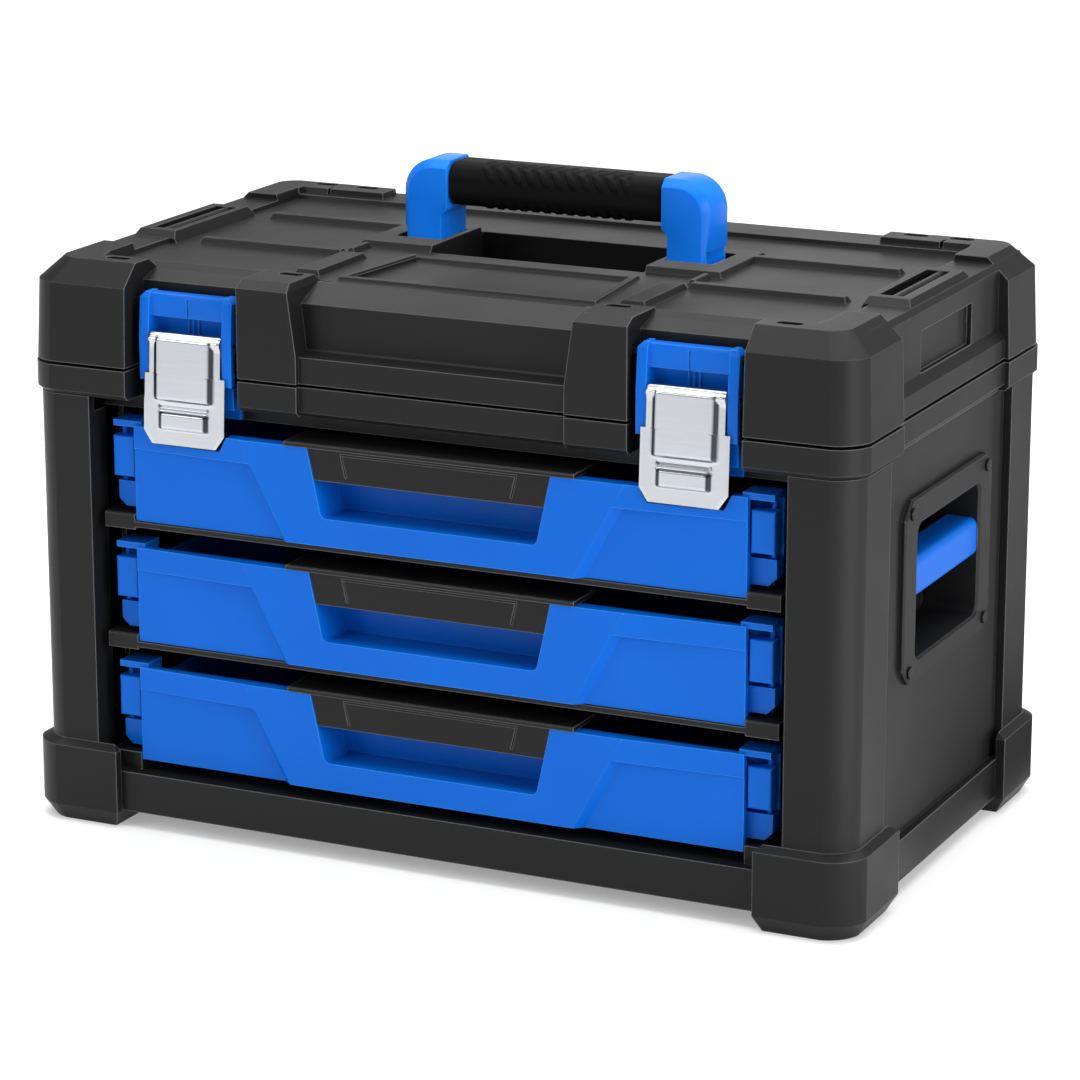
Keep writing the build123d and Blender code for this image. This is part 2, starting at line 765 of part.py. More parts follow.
recess_y = front(recess_back)
border_top = deck_height + border_rise
with BuildPart() as lid:
    with BuildSketch(Plane.XY.offset(lid_bottom)) as deck:
        with Locations((0, (recess_y + lid_back_y) / 2)):
            Rectangle(2 * lid_side_x, lid_back_y - recess_y)
        chamfer(deck.vertices().group_by(Axis.Y)[-1], slab_corner_cut)
    extrude(deck.sketch, amount=border_top - lid_bottom)
    prism_along_x(
        (
            (recess_y, recess_slope_bottom),
            (-recess_slope_y, deck_height),
            (-basin_front_y, deck_height),
            (-basin_front_y, border_top),
            (recess_y, border_top),
        ),
        -lid_side_x, lid_side_x, mode=Mode.SUBTRACT,
    )
    prism_along_x(
        (
            (lid_back_y - slab_rear_edge, border_top),
            (lid_back_y, border_top - slab_rear_edge),
            (lid_back_y, border_top),
        ),
        -lid_side_x, lid_side_x, mode=Mode.SUBTRACT,
    )
    for side in (-1, 1):
        prism_along_y(
            (
                (side * (lid_side_x - deck_edge), border_top),
                (side * lid_side_x, border_top - deck_edge),
                (side * lid_side_x, border_top),
            ),
            -half_d, half_d, mode=Mode.SUBTRACT,
        )
    add(corners.part)
    # the sunk deck inside its border, the corner blocks and the rear pads
    with BuildSketch(Plane.XY.offset(deck_height)) as basin:
        with Locations((0, (border_rear_y - basin_front_y) / 2)):
            Rectangle(2 * basin_x, border_rear_y + basin_front_y)
    extrude(basin.sketch, amount=border_overrun, taper=-block_slope, mode=Mode.SUBTRACT)
    with BuildSketch(Plane.XY.offset(border_top)) as rear_floor:
        with Locations((0, basin_rear_y / 2)):
            Rectangle(2 * basin_x, basin_rear_y)
    extrude(rear_floor.sketch, amount=border_overrun, taper=-block_slope, mode=Mode.SUBTRACT)
    prism_along_x(
        (
            (-leg_slope_y, lid_top),
            (-leg_foot_y, deck_height),
            (-leg_foot_y, lid_top),
        ),
        -basin_x, basin_x, mode=Mode.SUBTRACT,
    )
    for side in (-1, 1):
        with BuildSketch(Plane.XY.offset(border_top)) as pad:
            with Locations((side * (rear_pad_x + rear_gap_x) / 2, (basin_rear_y + pad_rear_y) / 2)):
                Rectangle(rear_gap_x - rear_pad_x, pad_rear_y - basin_rear_y)
        extrude(pad.sketch, amount=lid_top - border_top, taper=pad_draft)
        slab(
            side * (rear_gap_x - rear_gap / 2), side * (rear_gap_x + rear_gap / 2),
            basin_rear_y, basin_rear_y + rear_gap_depth, border_top, lid_top, mode=Mode.SUBTRACT,
        )
        # lip above a latch recess
        prism_along_x(
            (
                (-lip_front_y, deck_height),
                (-lip_crest_y, border_top),
                (-lip_crest_y + lip_crest_width, border_top),
                (-lip_foot_y, deck_height),
            ),
            side * (mid_outer_x - wall), side * (block_end_x + wall),
        )
    # bands low on the sides
    for side in (-1, 1):
        prism_along_y(
            (
                (side * (lid_side_x - wall), lid_bottom),
                (side * lid_side_band_x, lid_bottom),
                (side * lid_side_band_x, side_band_top),
                (side * lid_side_x, side_band_top + side_band_bevel),
                (side * (lid_side_x - wall), side_band_top + side_band_bevel),
            ),
            -block_end_y, block_end_y,
        )
    # mid blocks beside the latches
    for side in (-1, 1):
        prism_along_x(
            (
                (front(mid_front), lid_bottom),
                (front(mid_front), mid_face_top),
                (front(mid_front + mid_chamfer), mid_top),
                (-mid_back_y, mid_top),
                (-mid_back_y + mid_top - deck_height, deck_height),
                (-mid_back_y + mid_top - deck_height, lid_bottom),
            ),
            side * mid_inner_bottom_x, side * mid_outer_x,
        )
        prism_along_y(
            (
                (side * (mid_inner_bottom_x - wall), ledge_height),
                (side * mid_inner_bottom_x, ledge_height),
                (side * mid_inner_top_x, mid_face_top),
                (side * (mid_inner_top_x + mid_chamfer / 2), mid_top + wall),
                (side * (mid_inner_bottom_x - wall), mid_top + wall),
            ),
            front(0), -mid_back_y + mid_top - deck_height, mode=Mode.SUBTRACT,
        )
    # centre front: lower face, ledge, upper wall and a broad slope up to the deck
    prism_along_x(
        (
            (front(centre_front), lid_bottom),
            (front(centre_front), ledge_height),
            (front(centre_front + ledge_depth), ledge_height + ledge_rise),
            (front(wall_front), ledge_height + ledge_rise + wall_lean),
            (front(wall_front + wall_lean), front_slope_bottom),
            (front(wall_front + front_slope_depth), deck_height),
            (front(wall_front + front_slope_depth), lid_bottom),
        ),
        -mid_inner_top_x - mid_chamfer / 2, mid_inner_top_x + mid_chamfer / 2,
    )
    prism_along_x(
        (
            (front(wall_front + wall_lean), front_slope_bottom),
            (front(wall_front + front_slope_depth), deck_height),
            (front(wall_front + wall_lean), deck_height),
        ),
        -mid_inner_bottom_x, mid_inner_bottom_x, mode=Mode.SUBTRACT,
    )
    # ribs, raised strips and the sunk panel of the deck
    for side in (-1, 1):
        rib_x = side * (rib_inner_x + rib_outer_x) / 2
        with BuildSketch(Plane.XY.offset(deck_height)) as ribs:
            with Locations((rib_x, front_rib_y), (rib_x, rear_rib_y)):
                Rectangle(rib_outer_x - rib_inner_x, rib_width)
            spine_x = side * (spine_inner_x + spine_outer_x) / 2
            with Locations((spine_x, (spine_front_y + spine_back_y) / 2)):
                Rectangle(spine_outer_x - spine_inner_x, spine_back_y - spine_front_y)
            with Locations((side * short_rib_x, (short_rib_front_y + short_rib_back_y) / 2)):
                Rectangle(short_rib_width, short_rib_back_y - short_rib_front_y)
        extrude(ribs.sketch, amount=rib_height, taper=rib_taper)
    with BuildSketch(Plane.XY.offset(deck_height - panel_depth)) as sunk:
        with BuildLine():
            Polyline(
                (-panel_front_x, panel_front_y), (panel_front_x, panel_front_y),
                (panel_back_x, panel_back_y), (-panel_back_x, panel_back_y), close=True,
            )
        make_face()
    extrude(sunk.sketch, amount=panel_depth + strip_height, taper=-rib_taper, mode=Mode.SUBTRACT)
    with BuildSketch(Plane.XY.offset(deck_height)) as strips:
        with BuildLine():
            Polyline(
                (-panel_front_x - strip_width, panel_front_y - strip_width),
                (panel_front_x + strip_width, panel_front_y - strip_width),
                (panel_back_x + strip_width, panel_back_y), (-panel_back_x - strip_width, panel_back_y),
                close=True,
            )
        make_face()
        with BuildLine():
            Polyline(
                (-panel_front_x, panel_front_y), (panel_front_x, panel_front_y),
                (panel_back_x, panel_back_y), (-panel_back_x, panel_back_y), close=True,
            )
        make_face(mode=Mode.SUBTRACT)
    extrude(strips.sketch, amount=strip_height, taper=rib_taper)
    # frames round the handle pockets
    with BuildSketch(Plane.XY.offset(deck_height)) as frames:
        with Locations((0, (frame_front_y + frame_back_y) / 2)):
            Rectangle(2 * (arm_outer_x + pocket_gap_outer + frame_width), frame_back_y - frame_front_y)
    extrude(frames.sketch, amount=frame_height, taper=rib_taper)
    # hook frames at the sides
    for side in (-1, 1):
        prism_along_y(
            (
                (side * hook_inner_x, deck_height),
                (side * hook_top_inner_x, lid_top),
                (side * hook_top_x, lid_top),
                (side * hook_side_x, lid_face_top),
                (side * (hook_side_x - wall), lid_face_top),
                (side * (hook_side_x - wall), deck_height - wall),
                (side * hook_inner_x, deck_height - wall),
            ),
            -hook_half, hook_half,
        )
        for turn in (-1, 1):
            prism_along_x(
                (
                    (turn * hook_half, border_top),
                    (turn * (hook_half - hook_end_slope), lid_top),
                    (turn * hook_half, lid_top),
                ),
                side * hook_inner_x, side * hook_side_x, mode=Mode.SUBTRACT,
            )
    # hollow inside
    slab(
        wall - lid_side_x, lid_side_x - wall, recess_y + wall, lid_back_y - wall,
        lid_bottom, deck_height - wall - panel_depth, mode=Mode.SUBTRACT,
    )
    slab(
        wall - mid_inner_bottom_x, mid_inner_bottom_x - wall, front(centre_front + wall), recess_y + wall,
        lid_bottom, ledge_height - wall, mode=Mode.SUBTRACT,
    )
    with BuildSketch(Plane.XY.offset(lid_bottom)) as cores:
        plan_outline(lid_inset + lid_draft + wall, lid_inset + lid_draft + wall + rear_step)
        with GridLocations(2 * half_w, 2 * half_d, 2, 2):
            Rectangle(
                2 * (half_w - block_end_x - wall), 2 * (half_d - block_end_y - wall), mode=Mode.INTERSECT,
            )
    extrude(cores.sketch, amount=lid_face_top - lid_bottom - wall, mode=Mode.SUBTRACT)
    for side in (-1, 1):
        slab(
            side * (mid_inner_top_x + wall), side * (mid_outer_x - wall),
            front(mid_front + wall), recess_y + wall,
            lid_bottom, deck_height - wall - panel_depth, mode=Mode.SUBTRACT,
        )
    prism_along_x(
        (
            (front(wall_front + wall_lean), front_slope_bottom),
            (front(wall_front + front_slope_depth), deck_height),
            (front(wall_front + front_slope_depth), deck_height - 2 * wall),
            (front(wall_front + wall_lean), front_slope_bottom - 2 * wall),
        ),
        -mid_inner_top_x - wall, mid_inner_top_x + wall,
    )
    # handle well and the arms' pockets, with a rim between them
    arm_y0 = grip_middle_y - arm_depth / 2
    arm_y1 = grip_middle_y + arm_depth / 2
    arm_bottom = deck_height - arm_engagement
    pocket_bottom = arm_bottom - handle_travel - pocket_floor_gap
    flange_reach = arm_flange + flange_gap
    slab(
        -well_half - housing_wall, well_half + housing_wall,
        well_front_y - housing_wall, well_back_y + housing_wall, well_floor - housing_wall, deck_height,
    )
    for side in (-1, 1):
        slab(
            side * well_half, side * (arm_outer_x + flange_reach + housing_wall),
            arm_y0 - flange_reach - housing_wall, arm_y1 + flange_reach + housing_wall,
            pocket_bottom - housing_wall, deck_height,
        )
        slab(
            side * (arm_inner_x - pocket_gap), side * (arm_outer_x + flange_reach),
            arm_y0 - flange_reach, arm_y1 + flange_reach,
            pocket_bottom, deck_height - wall, mode=Mode.SUBTRACT,
        )
        slab(
            side * (arm_inner_x - pocket_gap), side * (arm_outer_x + pocket_gap_outer),
            arm_y0 - pocket_gap, arm_y1 + pocket_gap,
            deck_height - wall, lid_top, mode=Mode.SUBTRACT,
        )
    slab(
        -well_half, well_half, well_front_y, well_back_y, well_floor, lid_top, mode=Mode.SUBTRACT,
    )
    # hooks' slots, each with its rod left standing
    for side in (-1, 1):
        slab(
            side * hook_slot_x, side * (hook_slot_x + hook_slot_width), -hook_slot_half, hook_slot_half,
            lid_top - hook_slot_depth, lid_top, mode=Mode.SUBTRACT,
        )
        with BuildSketch(Plane.XZ) as rod:
            with Locations((side * hook_rod_x, lid_top - hook_rod_drop - hook_rod_radius)):
                Circle(hook_rod_radius)
        extrude(rod.sketch, amount=hook_slot_half, both=True)
        slab(
            side * (lid_side_x - side_pocket_depth), side * half_w,
            -side_pocket_half, side_pocket_half, side_pocket_bottom, side_pocket_top,
            mode=Mode.SUBTRACT,
        )
    # oval dimples
    with BuildSketch(Plane.XY.offset(lid_top)) as ovals:
        for side in (-1, 1):
            with Locations((side * oval_mid_x, oval_front_y), (side * oval_corner_x, oval_corner_y)):
                SlotOverall(oval_length, oval_width)
            with Locations((side * oval_pad_x, oval_rear_y), (side * oval_rear_x, oval_rear_y)):
                SlotOverall(oval_length, oval_width)
    extrude(ovals.sketch, amount=-oval_depth, mode=Mode.SUBTRACT)
    # hinge knuckles
    for side in (-1, 1):
        x0 = side * hinge_x - hinge_half / 3 + knuckle_gap / 2
        x1 = side * hinge_x + hinge_half / 3 - knuckle_gap / 2
        prism_along_x(
            (
                (lid_back_y, lid_bottom),
                (hinge_axis_y, hinge_axis_z),
                (hinge_axis_y, hinge_axis_z + hinge_barrel),
                (lid_back_y, hinge_axis_z + 2 * hinge_barrel + wall),
            ),
            x0, x1,
        )
        rod_along_x(hinge_axis_y, hinge_axis_z, hinge_barrel, x0, x1)
        rod_along_x(
            hinge_axis_y, hinge_axis_z, hinge_pin_radius + pin_gap, x0, x1, mode=Mode.SUBTRACT,
        )
    # seats of the latch pins, in the ends of the blocks
    for side in (-1, 1):
        rod_along_x(
            front(yoke_pin_setback), yoke_pin_z, yoke_pin_radius,
            side * (mid_outer_x - wall), side * (block_end_x + wall), mode=Mode.SUBTRACT,
        )
save(lid.part, "lid")

# ---- hinge pins --------------------------------------------------------------------
with BuildPart() as hinge_pins:
    for side in (-1, 1):
        rod_along_x(
            hinge_axis_y, hinge_axis_z, hinge_pin_radius,
            side * hinge_x - hinge_half, side * hinge_x + hinge_half,
        )
save(hinge_pins.part, "hinge_pins")

# ---- carrying handle ---------------------------------------------------------------
grip_middle_z = handle_top - grip_height / 2
arm_grip_x = grip_half + arm_end_gap
for side in (-1, 1):
    with BuildPart() as arm:
        with BuildSketch(Plane.XZ.offset(-arm_y0)) as outline:
            with BuildLine():
                Polyline(
                    (side * arm_inner_x, arm_bottom),
                    (side * arm_outer_x, arm_bottom),
                    (side * arm_outer_x, handle_top),
                    (side * arm_grip_x, handle_top),
                    (side * arm_grip_x, arm_step_z),
                    (side * arm_inner_x, arm_step_z - arm_inner_x + arm_grip_x),
                    close=True,
                )
            make_face()
            top_corners = outline.vertices().group_by(Axis.Y)[-1].sort_by(Axis.X)
            fillet(top_corners[0] if side < 0 else top_corners[-1], arm_round)
        extrude(outline.sketch, amount=-arm_depth)
        rim_edges = arm.edges().filter_by(
            lambda e: abs(abs(e.center().Y - grip_middle_y) - arm_depth / 2) < 0.01
            and (abs(e.center().X) > arm_outer_x - arm_round or e.center().Z > handle_top - 0.01)
            and e.center().Z > arm_bottom + 0.01
        )
        chamfer(rim_edges, arm_chamfer)
        slab(
            side * (arm_outer_x - slot_depth), side * (arm_outer_x + slot_depth),
            grip_middle_y - slot_width / 2, grip_middle_y + slot_width / 2,
            slot_bottom, slot_bottom + slot_height, mode=Mode.SUBTRACT,
        )
        slab(
            side * arm_inner_x, side * (arm_outer_x + arm_flange),
            arm_y0 - arm_flange, arm_y1 + arm_flange, arm_bottom, arm_bottom + flange_height,
        )
        slab(
            side * arm_grip_x, side * (arm_grip_x + core_socket),
            grip_middle_y - core_width / 2 - core_gap, grip_middle_y + core_width / 2 + core_gap,
            grip_middle_z - core_height / 2 - core_gap, grip_middle_z + core_height / 2 + core_gap,
            mode=Mode.SUBTRACT,
        )
    save(arm.part, "handle_arm_" + side_name(side))

with BuildPart() as core:
    core_half = arm_grip_x + core_socket - core_gap
    slab(
        -core_half, core_half, grip_middle_y - core_width / 2, grip_middle_y + core_width / 2,
        grip_middle_z - core_height / 2, grip_middle_z + core_height / 2,
    )
save(core.part, "handle_core")

with BuildPart() as grip:
    with BuildSketch(Plane.YZ.offset(-grip_half)) as section:
        with Locations((grip_middle_y, grip_middle_z)):
            RectangleRounded(grip_depth, grip_height, grip_round)
            Rectangle(core_width + 2 * core_gap, core_height + 2 * core_gap, mode=Mode.SUBTRACT)
    extrude(section.sketch, amount=2 * grip_half)
save(grip.part, "handle_grip")

# ---- latches -----------------------------------------------------------------------
lever_run = lever_front_top - lever_front_bottom
lever_fall = lever_top - lever_bottom
lever_length = (lever_run**2 + lever_fall**2) ** 0.5
pin_y = front(lever_pin_setback)


def lever_v(z):
    """Distance along the plate for a height, measured from the plate's top edge."""
    return (z - lever_top) * lever_length / lever_fall


for side in (-1, 1):
    middle = side * latch_x
    with BuildPart() as yoke:
        for turn in (-1, 1):
            prism_along_x(
                (
                    (front(yoke_top_front), yoke_top),
                    (front(yoke_top_back), yoke_top),
                    (front(yoke_web_back), yoke_pin_z),
                    (front(yoke_web_back), lever_top),
                    (front(yoke_foot_back), lever_pin_z - yoke_arm),
                    (front(yoke_foot_back), yoke_bottom),
                    (front(yoke_front), yoke_bottom),
                    (front(yoke_front), yoke_bend_z),
                    (front(yoke_face_setback), yoke_face_top),
                ),
                middle + turn * (yoke_half - yoke_arm), middle + turn * yoke_half,
            )
        prism_along_x(
            (
                (front(yoke_top_front + yoke_step), yoke_top - yoke_step),
                (front(yoke_top_back), yoke_top - yoke_step),
                (front(yoke_web_back), yoke_pin_z),
                (front(yoke_web_back), yoke_web_bottom),
                (front(yoke_web_front), yoke_web_bottom),
                (front(yoke_web_front), yoke_bar_bottom),
                (front(yoke_face_setback + yoke_bar_step), yoke_bar_bottom),
                (front(yoke_face_setback + yoke_bar_step), yoke_face_top),
            ),
            middle - yoke_half + yoke_arm, middle + yoke_half - yoke_arm,
        )
        for k in (-1, 0, 1):
            rib_x = middle + k * yoke_rib_pitch
            slab(
                rib_x - yoke_rib / 2, rib_x + yoke_rib / 2,
                front(yoke_web_front - yoke_rib), front(yoke_web_back), yoke_web_bottom, yoke_bar_bottom,
            )
        slab(
            middle - yoke_rib / 2, middle + yoke_rib / 2, front(yoke_face_setback + yoke_bar_step),
            front(yoke_face_setback + yoke_bar_step + yoke_rib), yoke_bar_bottom, yoke_face_top,
            mode=Mode.SUBTRACT,
        )
        outer_top = yoke.edges().filter_by(Axis.Y).group_by(Axis.Z)[-1].sort_by(Axis.X)
        chamfer([outer_top[0], outer_top[-1]], yoke_arm / 2)
        rod_along_x(
            front(yoke_pin_setback), yoke_pin_z, yoke_pin_radius + pin_gap,
            middle - yoke_half, middle + yoke_half, mode=Mode.SUBTRACT,
        )
        rod_along_x(
            pin_y, lever_pin_z, lever_pin_radius, middle - yoke_half, middle + yoke_half,
            mode=Mode.SUBTRACT,
        )
    save(yoke.part, "latch_yoke_" + side_name(side))

    with BuildPart() as yoke_pin:
        rod_along_x(
            front(yoke_pin_setback), yoke_pin_z, yoke_pin_radius,
            side * (mid_outer_x - wall), side * (block_end_x + wall),
        )
    save(yoke_pin.part, "latch_yoke_pin_" + side_name(side))

    with BuildPart() as lever_pin:
        rod_along_x(
            pin_y, lever_pin_z, lever_pin_radius, middle - yoke_half, middle + yoke_half,
        )
    save(lever_pin.part, "latch_lever_pin_" + side_name(side))

    plate_plane = Plane(
        origin=(middle, front(lever_front_top), lever_top),
        x_dir=(1, 0, 0),
        z_dir=(0, -lever_fall, lever_run),
    )
    with BuildPart() as lever:
        with BuildSketch(plate_plane) as plate:
            with BuildLine():
                Polyline(
                    (-lever_half, 0),
                    (-lever_half, lever_v(lever_shoulder)),
                    (-lever_wide_half, lever_v(lever_shoulder)),
                    (-lever_wide_half, lever_v(lever_chamfer_z)),
                    (-lever_bottom_half, lever_v(lever_bottom)),
                    (lever_bottom_half, lever_v(lever_bottom)),
                    (lever_wide_half, lever_v(lever_chamfer_z)),
                    (lever_wide_half, lever_v(lever_shoulder)),
                    (lever_half, lever_v(lever_shoulder)),
                    (lever_half, 0),
                    close=True,
                )
            make_face()
        extrude(plate.sketch, amount=-lever_wall)
        with BuildSketch(plate_plane) as emboss:
            with Locations((0, lever_v((emboss_top + emboss_bottom) / 2))):
                RectangleRounded(2 * emboss_half, emboss_top - emboss_bottom, 2 * emboss_height)
        extrude(emboss.sketch, amount=emboss_height, taper=emboss_draft)
        with BuildSketch(plate_plane) as pad:
            with Locations((0, lever_v((pad_top + pad_bottom) / 2))):
                RectangleRounded(2 * pad_half, pad_top - pad_bottom, pad_height)
        extrude(pad.sketch, amount=pad_height, taper=emboss_draft)
        slab(
            middle - lever_half, middle + lever_half, front(lever_front_top), pin_y,
            lever_top - lever_wall, lever_top,
        )
        for turn in (-1, 1):
            slab(
                middle + turn * (lever_half - ear_plate), middle + turn * lever_half,
                front(lever_front_top + lever_wall / 2), pin_y + ear_back,
                ear_bottom, lever_top,
            )
        rod_along_x(
            pin_y, lever_pin_z, lever_pin_radius + pin_gap,
            middle - lever_half, middle + lever_half, mode=Mode.SUBTRACT,
        )
    save(lever.part, "latch_lever_" + side_name(side))

    with BuildPart() as keeper:
        prism_along_x(
            (
                (front(keeper_front), keeper_top),
                (front(recess_back), keeper_top),
                (front(recess_back), keeper_bottom),
                (front(recess_back - keeper_wall), keeper_bottom),
                (front(recess_back - keeper_wall), keeper_top - keeper_wall),
                (front(keeper_front + keeper_wall), keeper_top - keeper_wall),
                (front(keeper_front + keeper_wall), keeper_top - keeper_hook),
                (front(keeper_front), keeper_top - keeper_hook),
            ),
            middle - keeper_half, middle + keeper_half,
        )
    save(keeper.part, "latch_keeper_" + side_name(side))

# ---- drawers -----------------------------------------------------------------------
wing_bottom = rail_above + run_gap
notch_lean = (notch_top_x - notch_bottom_x) / (face_height - notch_bottom_z)


def notch_half(height, gap=0.0):
    """Half width of the finger notch at a height above the front's bottom edge."""
    return notch_bottom_x + (height - notch_bottom_z) * notch_lean - gap


def slant_x(height):
    """Sideways place of the slanted facet's crest at a height."""
    return slant_bottom_x + (slant_top_x - slant_bottom_x) * height / slant_top_z


for k in range(drawer_count):
    number = drawer_count - k
    zb = drawer_bottom + k * drawer_pitch
    # proud centre of the front, with slanted sides
    with BuildPart() as proud:
        with BuildSketch(Plane.XZ.offset(-front(face_front))) as centre:
            with BuildLine():
                Polyline(
                    (-slant_x(-face_height), zb - face_height),
                    (slant_x(-face_height), zb - face_height),
                    (slant_x(2 * face_height), zb + 2 * face_height),
                    (-slant_x(2 * face_height), zb + 2 * face_height),
                    close=True,
                )
            make_face()
        extrude(centre.sketch, amount=-(panel_front - face_front), taper=-slant_angle)
        slab(
            -face_half, face_half, front(0), front(panel_front + face_wall),
            zb, zb + face_height, mode=Mode.INTERSECT,
        )
    with BuildPart() as drawer:
        # front, side walls and floor of the tub
        slab(
            -face_half, face_half, front(panel_front), front(panel_front + face_wall),
            zb, zb + face_height,
        )
        slab(
            -tub_half, tub_half, front(panel_front), tub_back_y, zb, zb + tub_height,
        )
        slab(
            tub_wall - tub_half, tub_half - tub_wall,
            front(panel_front + face_wall), tub_back_y - tub_wall,
            zb + tub_wall, zb + tub_height, mode=Mode.SUBTRACT,
        )
        for side in (-1, 1):
            slab(
                side * tub_half, side * runner_half, front(wing_front), tub_back_y,
                zb + wing_bottom, zb + wing_bottom + tub_wall,
            )
        add(proud.part)
        for side in (-1, 1):
            prism_along_z(
                (
                    (side * slant_bottom_x, front(face_front)),
                    (side * slant_top_x, front(face_front)),
                    (side * face_half, front(panel_front - strip_proud)),
                    (side * face_half, front(panel_front + face_wall)),
                    (side * slant_bottom_x, front(panel_front + face_wall)),
                ),
                zb + slant_top_z, zb + face_height,
            )
        # finger pocket behind the notch
        pocket_back = face_front + notch_depth + tub_wall
        with BuildSketch(Plane.XZ.offset(-front(panel_front))) as pocket:
            with BuildLine():
                Polyline(
                    (-notch_half(notch_bottom_z) - tub_wall, zb + notch_bottom_z - tub_wall),
                    (notch_half(notch_bottom_z) + tub_wall, zb + notch_bottom_z - tub_wall),
                    (notch_half(face_height) + tub_wall, zb + face_height),
                    (-notch_half(face_height) - tub_wall, zb + face_height),
                    close=True,
                )
            make_face()
        extrude(pocket.sketch, amount=panel_front - pocket_back)
        with BuildSketch(Plane.XZ.offset(-front(0))) as notch:
            with BuildLine():
                Polyline(
                    (-notch_half(notch_bottom_z), zb + notch_bottom_z),
                    (notch_half(notch_bottom_z), zb + notch_bottom_z),
                    (notch_half(2 * face_height), zb + 2 * face_height),
                    (-notch_half(2 * face_height), zb + 2 * face_height),
                    close=True,
                )
            make_face()
            fillet(notch.vertices().group_by(Axis.Y)[0], notch_round)
        extrude(notch.sketch, amount=-face_front - notch_depth, mode=Mode.SUBTRACT)
        # tabs, lugs and the walls behind the catches
        for side in (-1, 1):
            slab(
                side * (tub_half - tub_wall), side * ear_outer_x,
                front(wing_front), front(wing_front + tub_wall),
                zb + lug_top_z - tub_wall, zb + tab_bottom_z + tab_height,
            )
            slab(
                side * (tub_half - tub_wall), side * ear_outer_x, front(tab_front), front(wing_front),
                zb + tab_bottom_z, zb + tab_bottom_z + tab_height,
            )
            lug_inner_x = tub_half - tub_wall
            with BuildSketch(Plane.XZ.offset(-front(lug_front))) as lug:
                lug_x = side * (lug_inner_x + ear_outer_x) / 2
                with Locations((lug_x, zb + (lug_bottom_z + lug_top_z) / 2)):
                    Rectangle(ear_outer_x - lug_inner_x, lug_top_z - lug_bottom_z)
                low_corners = lug.vertices().group_by(Axis.Y)[0].sort_by(Axis.X)
                chamfer(low_corners[0] if side < 0 else low_corners[-1], lug_round)
            extrude(lug.sketch, amount=lug_front - wing_front - tub_wall)
            rod_along_z(
                side * catch_pin_x, front(catch_pin_setback), catch_pin_radius + pin_gap,
                zb + lug_top_z - pin_reach - pin_gap, zb + lug_top_z, mode=Mode.SUBTRACT,
            )
            rod_along_z(
                side * catch_pin_x, front(catch_pin_setback), catch_pin_radius + pin_gap,
                zb + tab_bottom_z, zb + tab_bottom_z + pin_reach + pin_gap, mode=Mode.SUBTRACT,
            )
        # room for the latch tails in front of the top drawer
        if number == 1:
            for side in (-1, 1):
                low = lever_bottom - tail_notch_gap
                high = lever_chamfer_z + tail_notch_gap
                prism_along_y(
                    (
                        (side * (latch_x - lever_bottom_half - tail_notch_gap), low),
                        (side * (latch_x + lever_bottom_half + tail_notch_gap), low),
                        (side * (latch_x + lever_wide_half + tail_notch_gap), high),
                        (side * (latch_x - lever_wide_half - tail_notch_gap), high),
                    ),
                    front(0), front(wing_front), mode=Mode.SUBTRACT,
                )
    save(drawer.part, f"drawer_{number}_tray")

    with BuildPart() as insert:
        slab(
            -lip_half, lip_half, front(face_front - strip_proud), front(face_front + lip_depth),
            zb + face_height, zb + face_height + lip_height,
        )
        with BuildSketch(Plane.XZ.offset(-front(insert_front))) as plate:
            with BuildLine():
                Polyline(
                    (-notch_half(insert_bottom_z, insert_gap), zb + insert_bottom_z),
                    (notch_half(insert_bottom_z, insert_gap), zb + insert_bottom_z),
                    (notch_half(face_height, insert_gap), zb + face_height),
                    (-notch_half(face_height, insert_gap), zb + face_height),
                    close=True,
                )
            make_face()
        extrude(plate.sketch, amount=-insert_wall)
        # engraved outline of a plain field
        with BuildSketch(Plane.XZ.offset(-front(insert_front))) as groove:
            for shrink, mode in ((0.0, Mode.ADD), (badge_line, Mode.SUBTRACT)):
                low = badge_half - (badge_top_z - badge_bottom_z) * notch_lean
                with BuildLine():
                    Polyline(
                        (shrink - low, zb + badge_bottom_z + shrink),
                        (low - shrink, zb + badge_bottom_z + shrink),
                        (badge_half - shrink, zb + badge_top_z - shrink),
                        (shrink - badge_half, zb + badge_top_z - shrink), close=True,
                    )
                make_face(mode=mode)
        extrude(groove.sketch, amount=-badge_depth, mode=Mode.SUBTRACT)
        inner = notch_half(insert_bottom_z, insert_gap)
        slab(
            -inner, inner, front(insert_front), front(insert_front + insert_shelf),
            zb + insert_bottom_z, zb + insert_bottom_z + insert_wall,
        )
        top_edges = insert.edges().filter_by(Axis.X).group_by(Axis.Z)[-1]
        chamfer(top_edges.sort_by(Axis.Y)[0], lip_bevel)
    save(insert.part, f"drawer_{number}_insert")

    for side in (-1, 1):
        with BuildPart() as catch:
            slab(
                side * ear_inner_x, side * catch_outer_x,
                front(catch_front), front(catch_front + catch_wall),
                zb + catch_bottom_z, zb + catch_top_z,
            )
            fillet(catch.edges().group_by(Axis.Y)[0], catch_round)
            rod_along_z(
                side * catch_pin_x, front(catch_pin_setback), catch_pin_radius + catch_boss / 2,
                zb + catch_bottom_z, zb + catch_top_z,
            )
            rod_along_z(
                side * catch_pin_x, front(catch_pin_setback), catch_pin_radius,
                zb + lug_top_z - pin_reach, zb + tab_bottom_z + pin_reach,
            )
        save(catch.part, f"drawer_{number}_catch_{side_name(side)}")
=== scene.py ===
import json
import math

